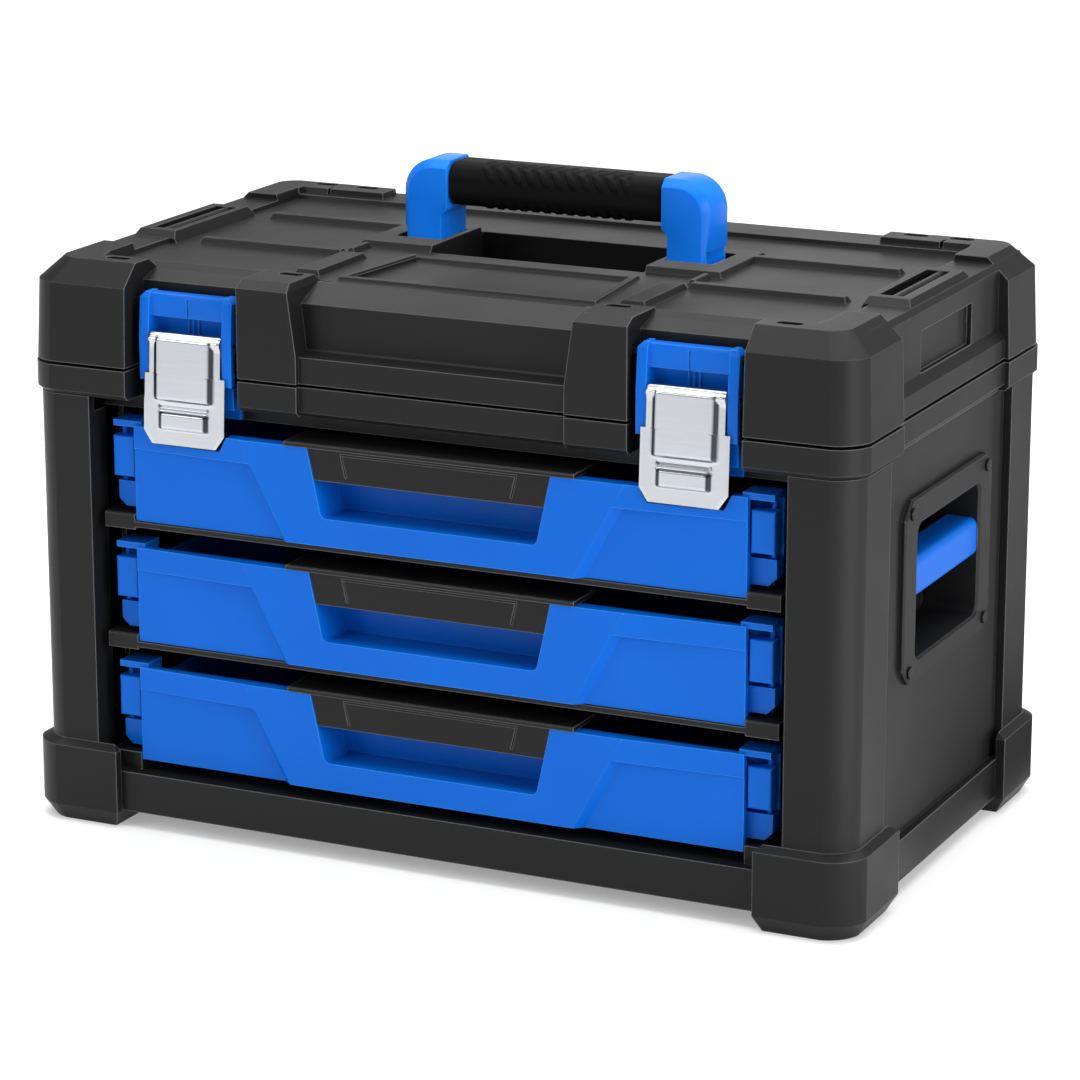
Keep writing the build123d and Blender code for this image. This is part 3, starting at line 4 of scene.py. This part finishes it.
import bmesh
import bpy
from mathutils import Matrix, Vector


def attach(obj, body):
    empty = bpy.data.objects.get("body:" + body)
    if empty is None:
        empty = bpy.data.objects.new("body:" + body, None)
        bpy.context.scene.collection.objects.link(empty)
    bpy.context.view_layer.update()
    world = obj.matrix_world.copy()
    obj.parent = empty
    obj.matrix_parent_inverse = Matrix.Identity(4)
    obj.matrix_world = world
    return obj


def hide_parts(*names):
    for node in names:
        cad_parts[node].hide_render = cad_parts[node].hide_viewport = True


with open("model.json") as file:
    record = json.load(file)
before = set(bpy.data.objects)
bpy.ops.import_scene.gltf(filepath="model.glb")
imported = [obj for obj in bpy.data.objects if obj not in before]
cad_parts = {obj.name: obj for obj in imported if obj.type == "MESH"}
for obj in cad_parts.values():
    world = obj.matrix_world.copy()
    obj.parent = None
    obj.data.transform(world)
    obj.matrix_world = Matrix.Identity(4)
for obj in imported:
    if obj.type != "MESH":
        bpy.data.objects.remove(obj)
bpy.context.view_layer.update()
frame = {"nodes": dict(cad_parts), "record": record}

# Metres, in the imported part's frame: +X the user's right, -Y the front, +Z up.

# ---- camera and studio -------------------------------------------------------------
CAMERA_AT = (0.963, -2.038, 0.7685)
CAMERA_YAW = 25.31            # degrees to the left of straight ahead
CAMERA_PITCH = -15.21
CAMERA_LENS = 136.3           # for a sensor 36 mm wide
SENSOR = 36.0
FLOOR_SIZE = 40.0
FLOOR_COLOUR = (0.75, 0.75, 0.75)
FLOOR_GLOW = 0.30             # evens out the far floor
WORLD_COLOUR = (1.0, 1.0, 1.0)
WORLD_STRENGTH = 0.42
# name: place, aim, width, height, watts
LIGHTS = {
    "softbox_top": ((0.0, 0.4, 3.0), (0.0, 0.0, 0.0), 4.0, 4.0, 150.0),
    "softbox_front_left": ((-2.4, -3.2, 2.2), (0.0, 0.0, 0.2), 1.8, 1.8, 45.0),
    "softbox_right": ((3.0, -0.9, 0.9), (0.2, 0.0, 0.2), 1.2, 1.8, 60.0),
    "softbox_back": ((-1.3, 4.0, 1.2), (0.0, 0.0, 0.3), 1.6, 1.2, 6.0),
}

# Cards just above the floor beside the right side, seen in reflections alone.
# A dark one, for the side wall.
DARK_CARD = ((0.262, -0.02), (0.50, 0.64), (0.54, 0.42), (1.30, 2.20), (1.30, 3.40), (0.262, 0.30))
DARK_CARD_COLOUR = (0.02, 0.02, 0.02)
# A bright one, which the rounded posts reflect.
BRIGHT_CARD = ((0.45, -0.65), (1.05, -0.65), (1.05, -0.10), (0.45, -0.10))
BRIGHT_CARD_GLOW = 2.2
CARD_Z = 0.002

# ---- finishes ----------------------------------------------------------------------
BLACK = (0.0078, 0.0078, 0.0079)
BLUE = (0.001, 0.112, 0.55)
# The handle arms' blue: the same plastic as the blue, painted lighter for the light the arms catch.
PAINTED_LIGHT_HANDLE_BLUE = (0.003, 0.175, 0.80)
RUBBER = (0.0055, 0.0055, 0.0055)
STEEL = (0.52, 0.54, 0.565)
FLUTE_PAINTED_SHADE = (0.045, 0.05, 0.056)   # painted shade in the pressed flutes, for the dark their steep steel flanks reflect
DARK_STEEL = (0.02, 0.02, 0.02)
EDGE_RADIUS = 0.0009          # rounding of moulded edges, in the shading
SHEET_EDGE = 0.0002           # the same on pressed steel
# Painted highlight along the outer edges, for the light that rounded edges catch: its width, and
# where it starts and is full.
EDGE_HIGHLIGHT_WIDTH = 0.0012
EDGE_HIGHLIGHT_THIN = (0.92, 0.60)      # openness under the surface where the painted edge highlight starts and is full
EDGE_HIGHLIGHT_TURN = (0.997, 0.95)     # agreement of the normals where the painted edge highlight starts and is full
# Colours of the painted edge highlight on each finish.
BLACK_EDGE_HIGHLIGHT = (0.16, 0.16, 0.16)
BLUE_EDGE_HIGHLIGHT = (0.03, 0.27, 0.90)
HANDLE_EDGE_HIGHLIGHT = (0.08, 0.42, 0.95)
RUBBER_EDGE_HIGHLIGHT = (0.02, 0.02, 0.02)


def node_tree(material):
    material.use_nodes = True
    tree = material.node_tree
    return tree, tree.nodes["Principled BSDF"]


def add(tree, kind, **values):
    """Adds a shader node and sets its sockets or its properties by name."""
    node = tree.nodes.new(kind)
    for name, value in values.items():
        if name in node.inputs:
            node.inputs[name].default_value = value
        else:
            setattr(node, name, value)
    return node


def noise(tree, scale, detail=3.0, stretch=(1.0, 1.0, 1.0)):
    """Noise in the part's own metres, stretched along the axes if asked."""
    place = add(tree, "ShaderNodeTexCoord")
    mapping = add(tree, "ShaderNodeMapping", Scale=stretch)
    texture = add(tree, "ShaderNodeTexNoise", Scale=scale, Detail=detail)
    tree.links.new(place.outputs["Object"], mapping.inputs["Vector"])
    tree.links.new(mapping.outputs["Vector"], texture.inputs["Vector"])
    return texture.outputs["Fac"]


def spread(tree, source, low, high):
    """Maps a noise's middle range to low..high."""
    node = add(tree, "ShaderNodeMapRange")
    node.inputs["From Min"].default_value = 0.3
    node.inputs["From Max"].default_value = 0.7
    node.inputs["To Min"].default_value = low
    node.inputs["To Max"].default_value = high
    tree.links.new(source, node.inputs["Value"])
    return node.outputs["Result"]


def tint(tree, source, colour, change):
    """Varies a colour's brightness by a noise."""
    mix = tree.nodes.new("ShaderNodeMix")
    mix.data_type = "RGBA"
    mix.inputs[6].default_value = tuple(c * (1 - change) for c in colour) + (1.0,)
    mix.inputs[7].default_value = tuple(min(c * (1 + change), 1.0) for c in colour) + (1.0,)
    tree.links.new(source, mix.inputs[0])
    return mix.outputs[2]


def falling(tree, source, high, low):
    """0 where a value is at high, rising to 1 where it is at low."""
    node = add(tree, "ShaderNodeMapRange")
    node.inputs["From Min"].default_value = high
    node.inputs["From Max"].default_value = low
    tree.links.new(source, node.inputs["Value"])
    return node.outputs["Result"]


def painted_edge_highlight(tree, source, edge, colour):
    """Mixes in a painted highlight along outer edges, where the rounded normal turns and the solid
    is thin.
    """
    inside = add(tree, "ShaderNodeAmbientOcclusion", samples=4, inside=True, only_local=True)
    inside.inputs["Distance"].default_value = EDGE_HIGHLIGHT_WIDTH
    surface = add(tree, "ShaderNodeNewGeometry")
    turn = add(tree, "ShaderNodeVectorMath", operation="DOT_PRODUCT")
    tree.links.new(edge.outputs["Normal"], turn.inputs[0])
    tree.links.new(surface.outputs["Normal"], turn.inputs[1])
    mask = add(tree, "ShaderNodeMath", operation="MULTIPLY")
    tree.links.new(falling(tree, inside.outputs["AO"], *EDGE_HIGHLIGHT_THIN), mask.inputs[0])
    tree.links.new(falling(tree, turn.outputs["Value"], *EDGE_HIGHLIGHT_TURN), mask.inputs[1])
    mix = tree.nodes.new("ShaderNodeMix")
    mix.data_type = "RGBA"
    mix.inputs[7].default_value = colour + (1.0,)
    tree.links.new(mask.outputs["Value"], mix.inputs[0])
    tree.links.new(source, mix.inputs[6])
    return mix.outputs[2]


def moulded(name, colour, rough, rough_change, grain, grain_scale, specular, edge_highlight):
    """A moulded plastic: soft mottling, a fine grain and rounded edges with a painted highlight
    along them.
    """
    material = bpy.data.materials.new(name)
    tree, shader = node_tree(material)
    cloud = noise(tree, 14.0)
    fine = noise(tree, grain_scale, 2.0)
    edge = add(tree, "ShaderNodeBevel", samples=6, Radius=EDGE_RADIUS)
    body_colour = tint(tree, cloud, colour, 0.12)
    tree.links.new(painted_edge_highlight(tree, body_colour, edge, edge_highlight), shader.inputs["Base Color"])
    tree.links.new(
        spread(tree, cloud, rough - rough_change, rough + rough_change), shader.inputs["Roughness"]
    )
    shader.inputs["Specular IOR Level"].default_value = specular
    bump = add(tree, "ShaderNodeBump", Strength=grain, Distance=0.00006)
    tree.links.new(fine, bump.inputs["Height"])
    tree.links.new(edge.outputs["Normal"], bump.inputs["Normal"])
    tree.links.new(bump.outputs["Normal"], shader.inputs["Normal"])
    return material


def metal(name, colour, rough, stretch):
    """A brushed metal, with its fine lines along X and painted shade wherever the pressed attribute
    marks a flute.
    """
    material = bpy.data.materials.new(name)
    tree, shader = node_tree(material)
    lines = noise(tree, 900.0, 2.0, stretch)
    cloud = noise(tree, 30.0)
    # Painted shade: the pressed attribute darkens the flutes, for the dark the steel reflects
    # there.
    shade = add(tree, "ShaderNodeAttribute", attribute_name="pressed")
    mix = tree.nodes.new("ShaderNodeMix")
    mix.data_type = "RGBA"
    mix.inputs[7].default_value = FLUTE_PAINTED_SHADE + (1.0,)
    tree.links.new(shade.outputs["Fac"], mix.inputs[0])
    tree.links.new(tint(tree, cloud, colour, 0.05), mix.inputs[6])
    tree.links.new(mix.outputs[2], shader.inputs["Base Color"])
    tree.links.new(spread(tree, lines, rough - 0.02, rough + 0.03), shader.inputs["Roughness"])
    shader.inputs["Metallic"].default_value = 1.0
    edge = add(tree, "ShaderNodeBevel", samples=6, Radius=SHEET_EDGE)
    bump = add(tree, "ShaderNodeBump", Strength=0.06, Distance=0.00003)
    tree.links.new(lines, bump.inputs["Height"])
    tree.links.new(edge.outputs["Normal"], bump.inputs["Normal"])
    tree.links.new(bump.outputs["Normal"], shader.inputs["Normal"])
    return material


MATERIALS = {
    # name, colour, roughness and its change, grain and its scale, specular, painted edge highlight
    # colour
    "black_plastic": moulded("black_plastic", BLACK, 0.44, 0.04, 0.30, 1500.0, 0.20, BLACK_EDGE_HIGHLIGHT),
    "blue_plastic": moulded("blue_plastic", BLUE, 0.32, 0.03, 0.12, 1200.0, 0.12, BLUE_EDGE_HIGHLIGHT),
    "grip_rubber": moulded("grip_rubber", RUBBER, 0.50, 0.05, 0.40, 2200.0, 0.05, RUBBER_EDGE_HIGHLIGHT),
    "latch_steel": metal("latch_steel", STEEL, 0.22, (0.04, 1.0, 1.0)),
    "dark_steel": metal("dark_steel", DARK_STEEL, 0.40, (1.0, 1.0, 1.0)),
}
# A lighter copy of the blue plastic for the handle arms: painted light, for the light they catch.
PAINTED_LIGHT_HANDLE = moulded("handle_blue_painted_light", PAINTED_LIGHT_HANDLE_BLUE, 0.32, 0.03, 0.12, 1200.0, 0.12, HANDLE_EDGE_HIGHLIGHT)

# ---- latch lever, metres: pressed steel plate, rolled over at the top --------------
PLATE_TOP = (-0.14125, 0.2896)      # y and z of its top front edge
PLATE_FOOT = (-0.14485, 0.2272)
PLATE_LENGTH = math.hypot(PLATE_FOOT[0] - PLATE_TOP[0], PLATE_FOOT[1] - PLATE_TOP[1])
SHEET = 0.0012
ROLL = 0.0022
LIP = 0.0044                  # depth of the rolled lip, back to the pin
SHOULDER = 0.0231             # down from the top
CUT_CORNER = 0.0551
NARROW_HALF, WIDE_HALF, FOOT_HALF = 0.0224, 0.0253, 0.0202
PILLOW = 0.0021
PILLOW_HALF, PILLOW_FLANK = 0.0193, 0.0036
PILLOW_END, PILLOW_END_FLANK = 0.0388, 0.0026
PAD = 0.0017
PAD_HALF, PAD_FLANK = 0.0160, 0.0030
PAD_SPAN = (0.0436, 0.0549)
GROOVE = (0.0409, 0.0009, 0.0006)   # place, half width, depth
PIN_CENTRE = (-0.13685, 0.2845)
PIN_HOLE = 0.00172
EAR_BACK, EAR_BOTTOM = -0.13425, 0.2790
EAR_SHEET = 0.0012
PLATE_ROWS, PLATE_COLUMNS = 96, 56

# ---- grip sleeve -------------------------------------------------------------------
GRIP_HALF = 0.0662
GRIP_MIDDLE = (0.0308, 0.3535)      # y, z
GRIP_SECTION = (0.0310, 0.0270, 0.0100)   # depth, height, corner radius
GRIP_BORE = (0.0204, 0.0134)
GRIP_RELIEF = 0.0011
FIELD_HALF = 0.047            # half length of the textured field
GROUND = 0.35                 # level of the plain surface, as a share of the relief
SUNK = 0.25                   # how far the ground between the bars lies below it
BAR_FIELD = (92.0, 172.0)     # degrees round the sleeve
BAR_PITCH, BAR_LEAN = 0.0085, 1.6
RIB_FIELD = (205.0, 262.0)
RIB_PITCH = 0.0072
GRIP_STEPS, GRIP_AROUND = 220, 120

# ---- rounding of moulded pieces ----------------------------------------------------
YOKE_ROUND = 0.0008
ARM_ROUND = 0.0012
WELD = 1e-6
FLAT_ANGLE = math.radians(2)
ROUND_ANGLE = math.radians(22)      # sharper folds than this are rounded
LATCH_X = 0.1497


def dress_frame():
    """Gives each CAD node the material of its slot in the record."""
    for part in frame["record"]["subparts"]:
        node = frame["nodes"][part["node"]]
        node.data.materials.clear()
        node.data.materials.append(MATERIALS[part["material_slot"]])


def smooth(value):
    """0 to 1 with soft ends."""
    value = min(max(value, 0.0), 1.0)
    return value * value * (3.0 - 2.0 * value)


def plate_half(down):
    """Half width of the lever's plate at a distance down from its top."""
    if down < SHOULDER:
        return NARROW_HALF
    if down < CUT_CORNER:
        return WIDE_HALF
    share = (down - CUT_CORNER) / (PLATE_LENGTH - CUT_CORNER)
    return WIDE_HALF + (FOOT_HALF - WIDE_HALF) * share


def relief(across, down):
    """Height of the pressed relief over the flat plate."""
    side = abs(across)
    pillow = PILLOW * smooth((PILLOW_HALF - side) / PILLOW_FLANK)
    pillow = max(pillow, PILLOW * 0.75 * smooth((0.0085 - down) / 0.005))
    pillow *= smooth((down - ROLL * 0.5) / 0.003)
    pillow *= smooth((PILLOW_END - down) / PILLOW_END_FLANK)
    pad = PAD * smooth((PAD_HALF - side) / PAD_FLANK)
    pad *= smooth((down - PAD_SPAN[0]) / 0.0018) * smooth((PAD_SPAN[1] - down) / 0.0024)
    place, half, depth = GROOVE
    groove = depth * math.exp(-(((down - place) / half) ** 2)) * smooth((0.0160 - side) / 0.0015)
    return pillow + pad - groove


def painted_flute_shade(across, down):
    """How much painted shade the flutes get: where the relief is steep across, or falls away above
    the pad.
    """
    step = 0.0002
    slope = abs(relief(across + step, down) - relief(across - step, down)) / (2 * step)
    flute = smooth((slope - 0.15) / 0.35)
    fall = (relief(across, down + step) - relief(across, down - step)) / (2 * step)
    inner = smooth((PILLOW_HALF - abs(across)) / 0.0015) * smooth((down - 0.02) / 0.01)
    return max(flute, smooth((fall - 0.15) / 0.4) * inner)


def lever_rows():
    """The plate's profile, lip to foot: down, out, normal, and whether it is pressed."""
    rows = [(0.0, -LIP + k * (LIP - ROLL) / 3, (-1.0, 0.0), False) for k in range(3)]
    for k in range(9):
        angle = math.radians(90.0 * k / 8)
        rows.append((
            ROLL * (1 - math.cos(angle)), -ROLL * (1 - math.sin(angle)),
            (-math.cos(angle), math.sin(angle)), k == 8,
        ))
    places = [ROLL + (PLATE_LENGTH - ROLL) * (k + 1) / PLATE_ROWS for k in range(PLATE_ROWS)]
    places += [SHOULDER - 0.0001, SHOULDER + 0.0001, CUT_CORNER]
    rows += [(place, 0.0, (0.0, 1.0), True) for place in sorted(places)]
    return rows


def outline_of(rows):
    """The vertices round the edge of a grid of rows, in order."""
    left = [row[0] for row in rows]
    right = [row[-1] for row in rows[-2::-1]]
    return left + rows[-1][1:] + right + rows[0][-2:0:-1]


def lever_mesh(middle):
    """One latch lever: the pressed plate with its rolled lip, and the two ears on the pin."""
    bm = bmesh.new()
    along = Vector((0, PLATE_FOOT[0] - PLATE_TOP[0], PLATE_FOOT[1] - PLATE_TOP[1])) / PLATE_LENGTH
    outward = Vector((0, along.z, -along.y))
    origin = Vector((middle, PLATE_TOP[0], PLATE_TOP[1]))
    columns = PLATE_COLUMNS
    skins = ([], [])
    shades = []
    for down, out, (normal_down, normal_out), pressed in lever_rows():
        half = plate_half(down)
        lines = ([], [])
        for c in range(columns + 1):
            across = half * (2.0 * c / columns - 1.0)
            rise = relief(across, down) if pressed else 0.0
            # painted shade of the flutes, for the vertices of both skins
            shades += [painted_flute_shade(across, down) if pressed else 0.0] * 2
            rim = 0.0004 * (1.0 - smooth((half - abs(across)) / 0.0010))
            for line, depth in zip(lines, (rise - rim, rise * 0.85 - SHEET)):
                place = origin + Vector((across, 0, 0)) + along * (down + normal_down * depth)
                line.append(bm.verts.new(place + outward * (out + normal_out * depth)))
        skins[0].append(lines[0])
        skins[1].append(lines[1])
    for skin, turn in zip(skins, (1, -1)):
        for upper, lower in zip(skin, skin[1:]):
            for c in range(columns):
                bm.faces.new([upper[c], lower[c], lower[c + 1], upper[c + 1]][::turn])
    front, back = skins
    rim, inner = outline_of(front), outline_of(back)
    for k in range(len(rim)):
        j = (k + 1) % len(rim)
        bm.faces.new((rim[k], inner[k], inner[j], rim[j]))
    for turn in (-1, 1):
        ear(bm, middle + turn * NARROW_HALF, -turn * EAR_SHEET)
    bmesh.ops.recalc_face_normals(bm, faces=bm.faces)
    mesh = bpy.data.meshes.new("lever")
    bm.to_mesh(mesh)
    bm.free()
    shades += [0.0] * (len(mesh.vertices) - len(shades))
    # The pressed attribute carries the painted shade of the flutes.
    mesh.attributes.new("pressed", "FLOAT", "POINT").data.foreach_set("value", shades)
    mesh.shade_smooth()
    mesh.set_sharp_from_angle(angle=math.radians(40))
    return mesh


def ear(bm, x, thickness):
    """An ear of the lever, with the pin's hole through it."""
    count = 32
    low = (PLATE_TOP[0] + SHEET * 0.5, EAR_BOTTOM)
    high = (EAR_BACK, PLATE_TOP[1] - SHEET)
    rings = []
    for depth in (0.0, thickness):
        hole, edge = [], []
        for k in range(count):
            angle = 2.0 * math.pi * (k + 0.5) / count
            dy, dz = math.cos(angle), math.sin(angle)
            reach_y = ((high[0] if dy > 0 else low[0]) - PIN_CENTRE[0]) / dy
            reach_z = ((high[1] if dz > 0 else low[1]) - PIN_CENTRE[1]) / dz
            reach = min(reach_y, reach_z)
            for ring, far in ((hole, PIN_HOLE), (edge, reach)):
                place = (x + depth, PIN_CENTRE[0] + far * dy, PIN_CENTRE[1] + far * dz)
                ring.append(bm.verts.new(place))
        rings.append((hole, edge))
    (hole_a, edge_a), (hole_b, edge_b) = rings
    for k in range(count):
        j = (k + 1) % count
        bm.faces.new((hole_a[k], edge_a[k], edge_a[j], hole_a[j]))
        bm.faces.new((hole_b[j], edge_b[j], edge_b[k], hole_b[k]))
        bm.faces.new((edge_a[k], edge_b[k], edge_b[j], edge_a[j]))
        bm.faces.new((hole_a[j], hole_b[j], hole_b[k], hole_a[k]))


def place_piece(name, mesh, body, node, material):
    """Adds a piece that stands for a CAD node."""
    piece = bpy.data.objects.new(name, mesh)
    bpy.context.scene.collection.objects.link(piece)
    mesh.materials.append(material)
    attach(piece, body)
    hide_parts(node)
    return piece


def section_point(angle, width, height, radius):
    """A point of a rounded rectangle in the direction of an angle, and its outward normal."""
    dy, dz = math.cos(angle), math.sin(angle)
    inner_y, inner_z = width / 2 - radius, height / 2 - radius
    reach = min(width / 2 / max(abs(dy), 1e-9), height / 2 / max(abs(dz), 1e-9))
    y, z = dy * reach, dz * reach
    cy, cz = math.copysign(min(abs(y), inner_y), y), math.copysign(min(abs(z), inner_z), z)
    offset = Vector((y - cy, z - cz))
    normal = offset.normalized() if offset.length > 1e-9 else Vector((dy, dz))
    return Vector((cy, cz)) + normal * radius, normal


def grip_relief(x, angle):
    """The sleeve's raised texture: slanting bars on top and short ribs underneath."""
    degrees = math.degrees(angle) % 360.0
    ends = smooth((FIELD_HALF - abs(x)) / 0.002)
    if BAR_FIELD[0] < degrees < BAR_FIELD[1]:
        row = (degrees - BAR_FIELD[0]) / (BAR_FIELD[1] - BAR_FIELD[0])
        lean = BAR_LEAN if row < 0.5 else -BAR_LEAN
        bars = math.cos(2 * math.pi * (x / BAR_PITCH + row * lean))
        spine = 1.0 - 0.9 * smooth(1.0 - abs(row - 0.5) / 0.07)
        band = ends * smooth(row / 0.12) * smooth((1.0 - row) / 0.12) * spine
        return GROUND + (1.0 - GROUND) * band * smooth((bars + 0.2) / 0.6) - SUNK * band
    if RIB_FIELD[0] < degrees < RIB_FIELD[1]:
        row = (degrees - RIB_FIELD[0]) / (RIB_FIELD[1] - RIB_FIELD[0])
        ribs = math.cos(2 * math.pi * x / RIB_PITCH)
        band = ends * smooth(row / 0.25) * smooth((1.0 - row) / 0.25)
        return GROUND + (1.0 - GROUND) * band * smooth((ribs + 0.1) / 0.5)
    return GROUND


def grip_mesh():
    """The rubber sleeve: a rounded bar with its raised texture, hollow for the core."""
    bm = bmesh.new()
    steps, around = GRIP_STEPS, GRIP_AROUND
    width, height, radius = GRIP_SECTION
    outer, bore = [], []
    for k in range(steps + 1):
        x = GRIP_HALF * (2.0 * k / steps - 1.0)
        tuck = 0.0012 * (1.0 - smooth((GRIP_HALF - abs(x)) / 0.0020))
        ring = []
        for a in range(around):
            angle = 2.0 * math.pi * a / around
            point, normal = section_point(angle, width, height, radius)
            point = point - normal * (GRIP_RELIEF * (1.0 - grip_relief(x, angle)) + tuck)
            ring.append(bm.verts.new((x, GRIP_MIDDLE[0] + point.x, GRIP_MIDDLE[1] + point.y)))
        outer.append(ring)
    for x in (-GRIP_HALF, GRIP_HALF):
        ring = []
        for a in range(around):
            point, _ = section_point(2.0 * math.pi * a / around, GRIP_BORE[0], GRIP_BORE[1], 0.0004)
            ring.append(bm.verts.new((x, GRIP_MIDDLE[0] + point.x, GRIP_MIDDLE[1] + point.y)))
        bore.append(ring)
    strips = list(zip(outer, outer[1:]))
    strips += [(outer[-1], bore[1]), (bore[1], bore[0]), (bore[0], outer[0])]
    for one, two in strips:
        for a in range(around):
            b = (a + 1) % around
            bm.faces.new((one[a], one[b], two[b], two[a]))
    bmesh.ops.recalc_face_normals(bm, faces=bm.faces)
    mesh = bpy.data.meshes.new("grip")
    bm.to_mesh(mesh)
    bm.free()
    mesh.shade_smooth()
    mesh.set_sharp_from_angle(angle=math.radians(45))
    return mesh


def rounded_copy(node, radius):
    """A copy of a node's mesh with its edges rounded."""
    bm = bmesh.new()
    bm.from_mesh(frame["nodes"][node].data)
    bmesh.ops.remove_doubles(bm, verts=bm.verts, dist=WELD)
    bmesh.ops.dissolve_limit(bm, angle_limit=FLAT_ANGLE, verts=bm.verts, edges=bm.edges)
    folds = [e for e in bm.edges if len(e.link_faces) == 2]
    bmesh.ops.bevel(
        bm, geom=[e for e in folds if e.calc_face_angle() > ROUND_ANGLE], offset=radius,
        offset_type="OFFSET", segments=3, profile=0.5, affect="EDGES", clamp_overlap=True,
        miter_outer="ARC",
    )
    mesh = bpy.data.meshes.new("rounded_" + node)
    bm.to_mesh(mesh)
    bm.free()
    mesh.shade_smooth()
    mesh.set_sharp_from_angle(angle=math.radians(35))
    return mesh


def pieces():
    """The pieces that stand for plainer CAD nodes."""
    for side, middle in (("left", -LATCH_X), ("right", LATCH_X)):
        place_piece(
            "lever_" + side, lever_mesh(middle), "latch_lever_" + side, "latch_lever_" + side,
            MATERIALS["latch_steel"],
        )
        place_piece(
            "yoke_" + side, rounded_copy("latch_yoke_" + side, YOKE_ROUND), "latch_yoke_" + side,
            "latch_yoke_" + side, MATERIALS["blue_plastic"],
        )
        place_piece(
            "arm_" + side, rounded_copy("handle_arm_" + side, ARM_ROUND), "handle",
            "handle_arm_" + side, PAINTED_LIGHT_HANDLE,
        ).visible_glossy = False    # keeps blue patches off the deck
    place_piece(
        "grip_sleeve", grip_mesh(), "handle", "handle_grip",
        MATERIALS["grip_rubber"],
    )


def studio():
    """Floor, world light, softboxes and the camera."""
    bpy.ops.mesh.primitive_plane_add(size=FLOOR_SIZE, location=(0, 0, 0))
    floor = bpy.context.object
    floor.name = "floor"
    material = bpy.data.materials.new("floor")
    tree, shader = node_tree(material)
    shader.inputs["Base Color"].default_value = FLOOR_COLOUR + (1.0,)
    shader.inputs["Roughness"].default_value = 0.9
    shader.inputs["Specular IOR Level"].default_value = 0.1
    shader.inputs["Emission Color"].default_value = (1.0, 1.0, 1.0, 1.0)
    shader.inputs["Emission Strength"].default_value = FLOOR_GLOW
    floor.data.materials.append(material)
    for name, outline, colour, glow in (
        ("dark_card", DARK_CARD, DARK_CARD_COLOUR, 0.0),
        ("bright_card", BRIGHT_CARD, (1.0, 1.0, 1.0), BRIGHT_CARD_GLOW),
    ):
        mesh = bpy.data.meshes.new(name)
        mesh.from_pydata([(x, y, CARD_Z) for x, y in outline], [], [tuple(range(len(outline)))])
        card = bpy.data.objects.new(name, mesh)
        bpy.context.scene.collection.objects.link(card)
        material = bpy.data.materials.new(name)
        tree, shader = node_tree(material)
        shader.inputs["Base Color"].default_value = colour + (1.0,)
        shader.inputs["Emission Color"].default_value = (1.0, 1.0, 1.0, 1.0)
        shader.inputs["Emission Strength"].default_value = glow
        mesh.materials.append(material)
        card.visible_camera = card.visible_diffuse = card.visible_shadow = False
    world = bpy.data.worlds.new("studio")
    bpy.context.scene.world = world
    world.use_nodes = True
    sky = world.node_tree.nodes["Background"]
    sky.inputs["Color"].default_value = WORLD_COLOUR + (1.0,)
    sky.inputs["Strength"].default_value = WORLD_STRENGTH
    for name, (place, aim, width, height, watts) in LIGHTS.items():
        data = bpy.data.lights.new(name, "AREA")
        data.shape = "RECTANGLE"
        data.size, data.size_y, data.energy = width, height, watts
        lamp = bpy.data.objects.new(name, data)
        bpy.context.scene.collection.objects.link(lamp)
        lamp.location = place
        lamp.rotation_euler = (Vector(aim) - Vector(place)).to_track_quat("-Z", "Y").to_euler()
    data = bpy.data.cameras.new("camera")
    data.lens, data.sensor_width = CAMERA_LENS, SENSOR
    data.clip_end = 100.0
    camera = bpy.data.objects.new("camera", data)
    bpy.context.scene.collection.objects.link(camera)
    camera.location = CAMERA_AT
    camera.rotation_euler = (math.radians(90 + CAMERA_PITCH), 0, math.radians(CAMERA_YAW))
    bpy.context.scene.camera = camera
    bpy.context.scene.view_settings.view_transform = "Standard"


dress_frame()
pieces()
studio()
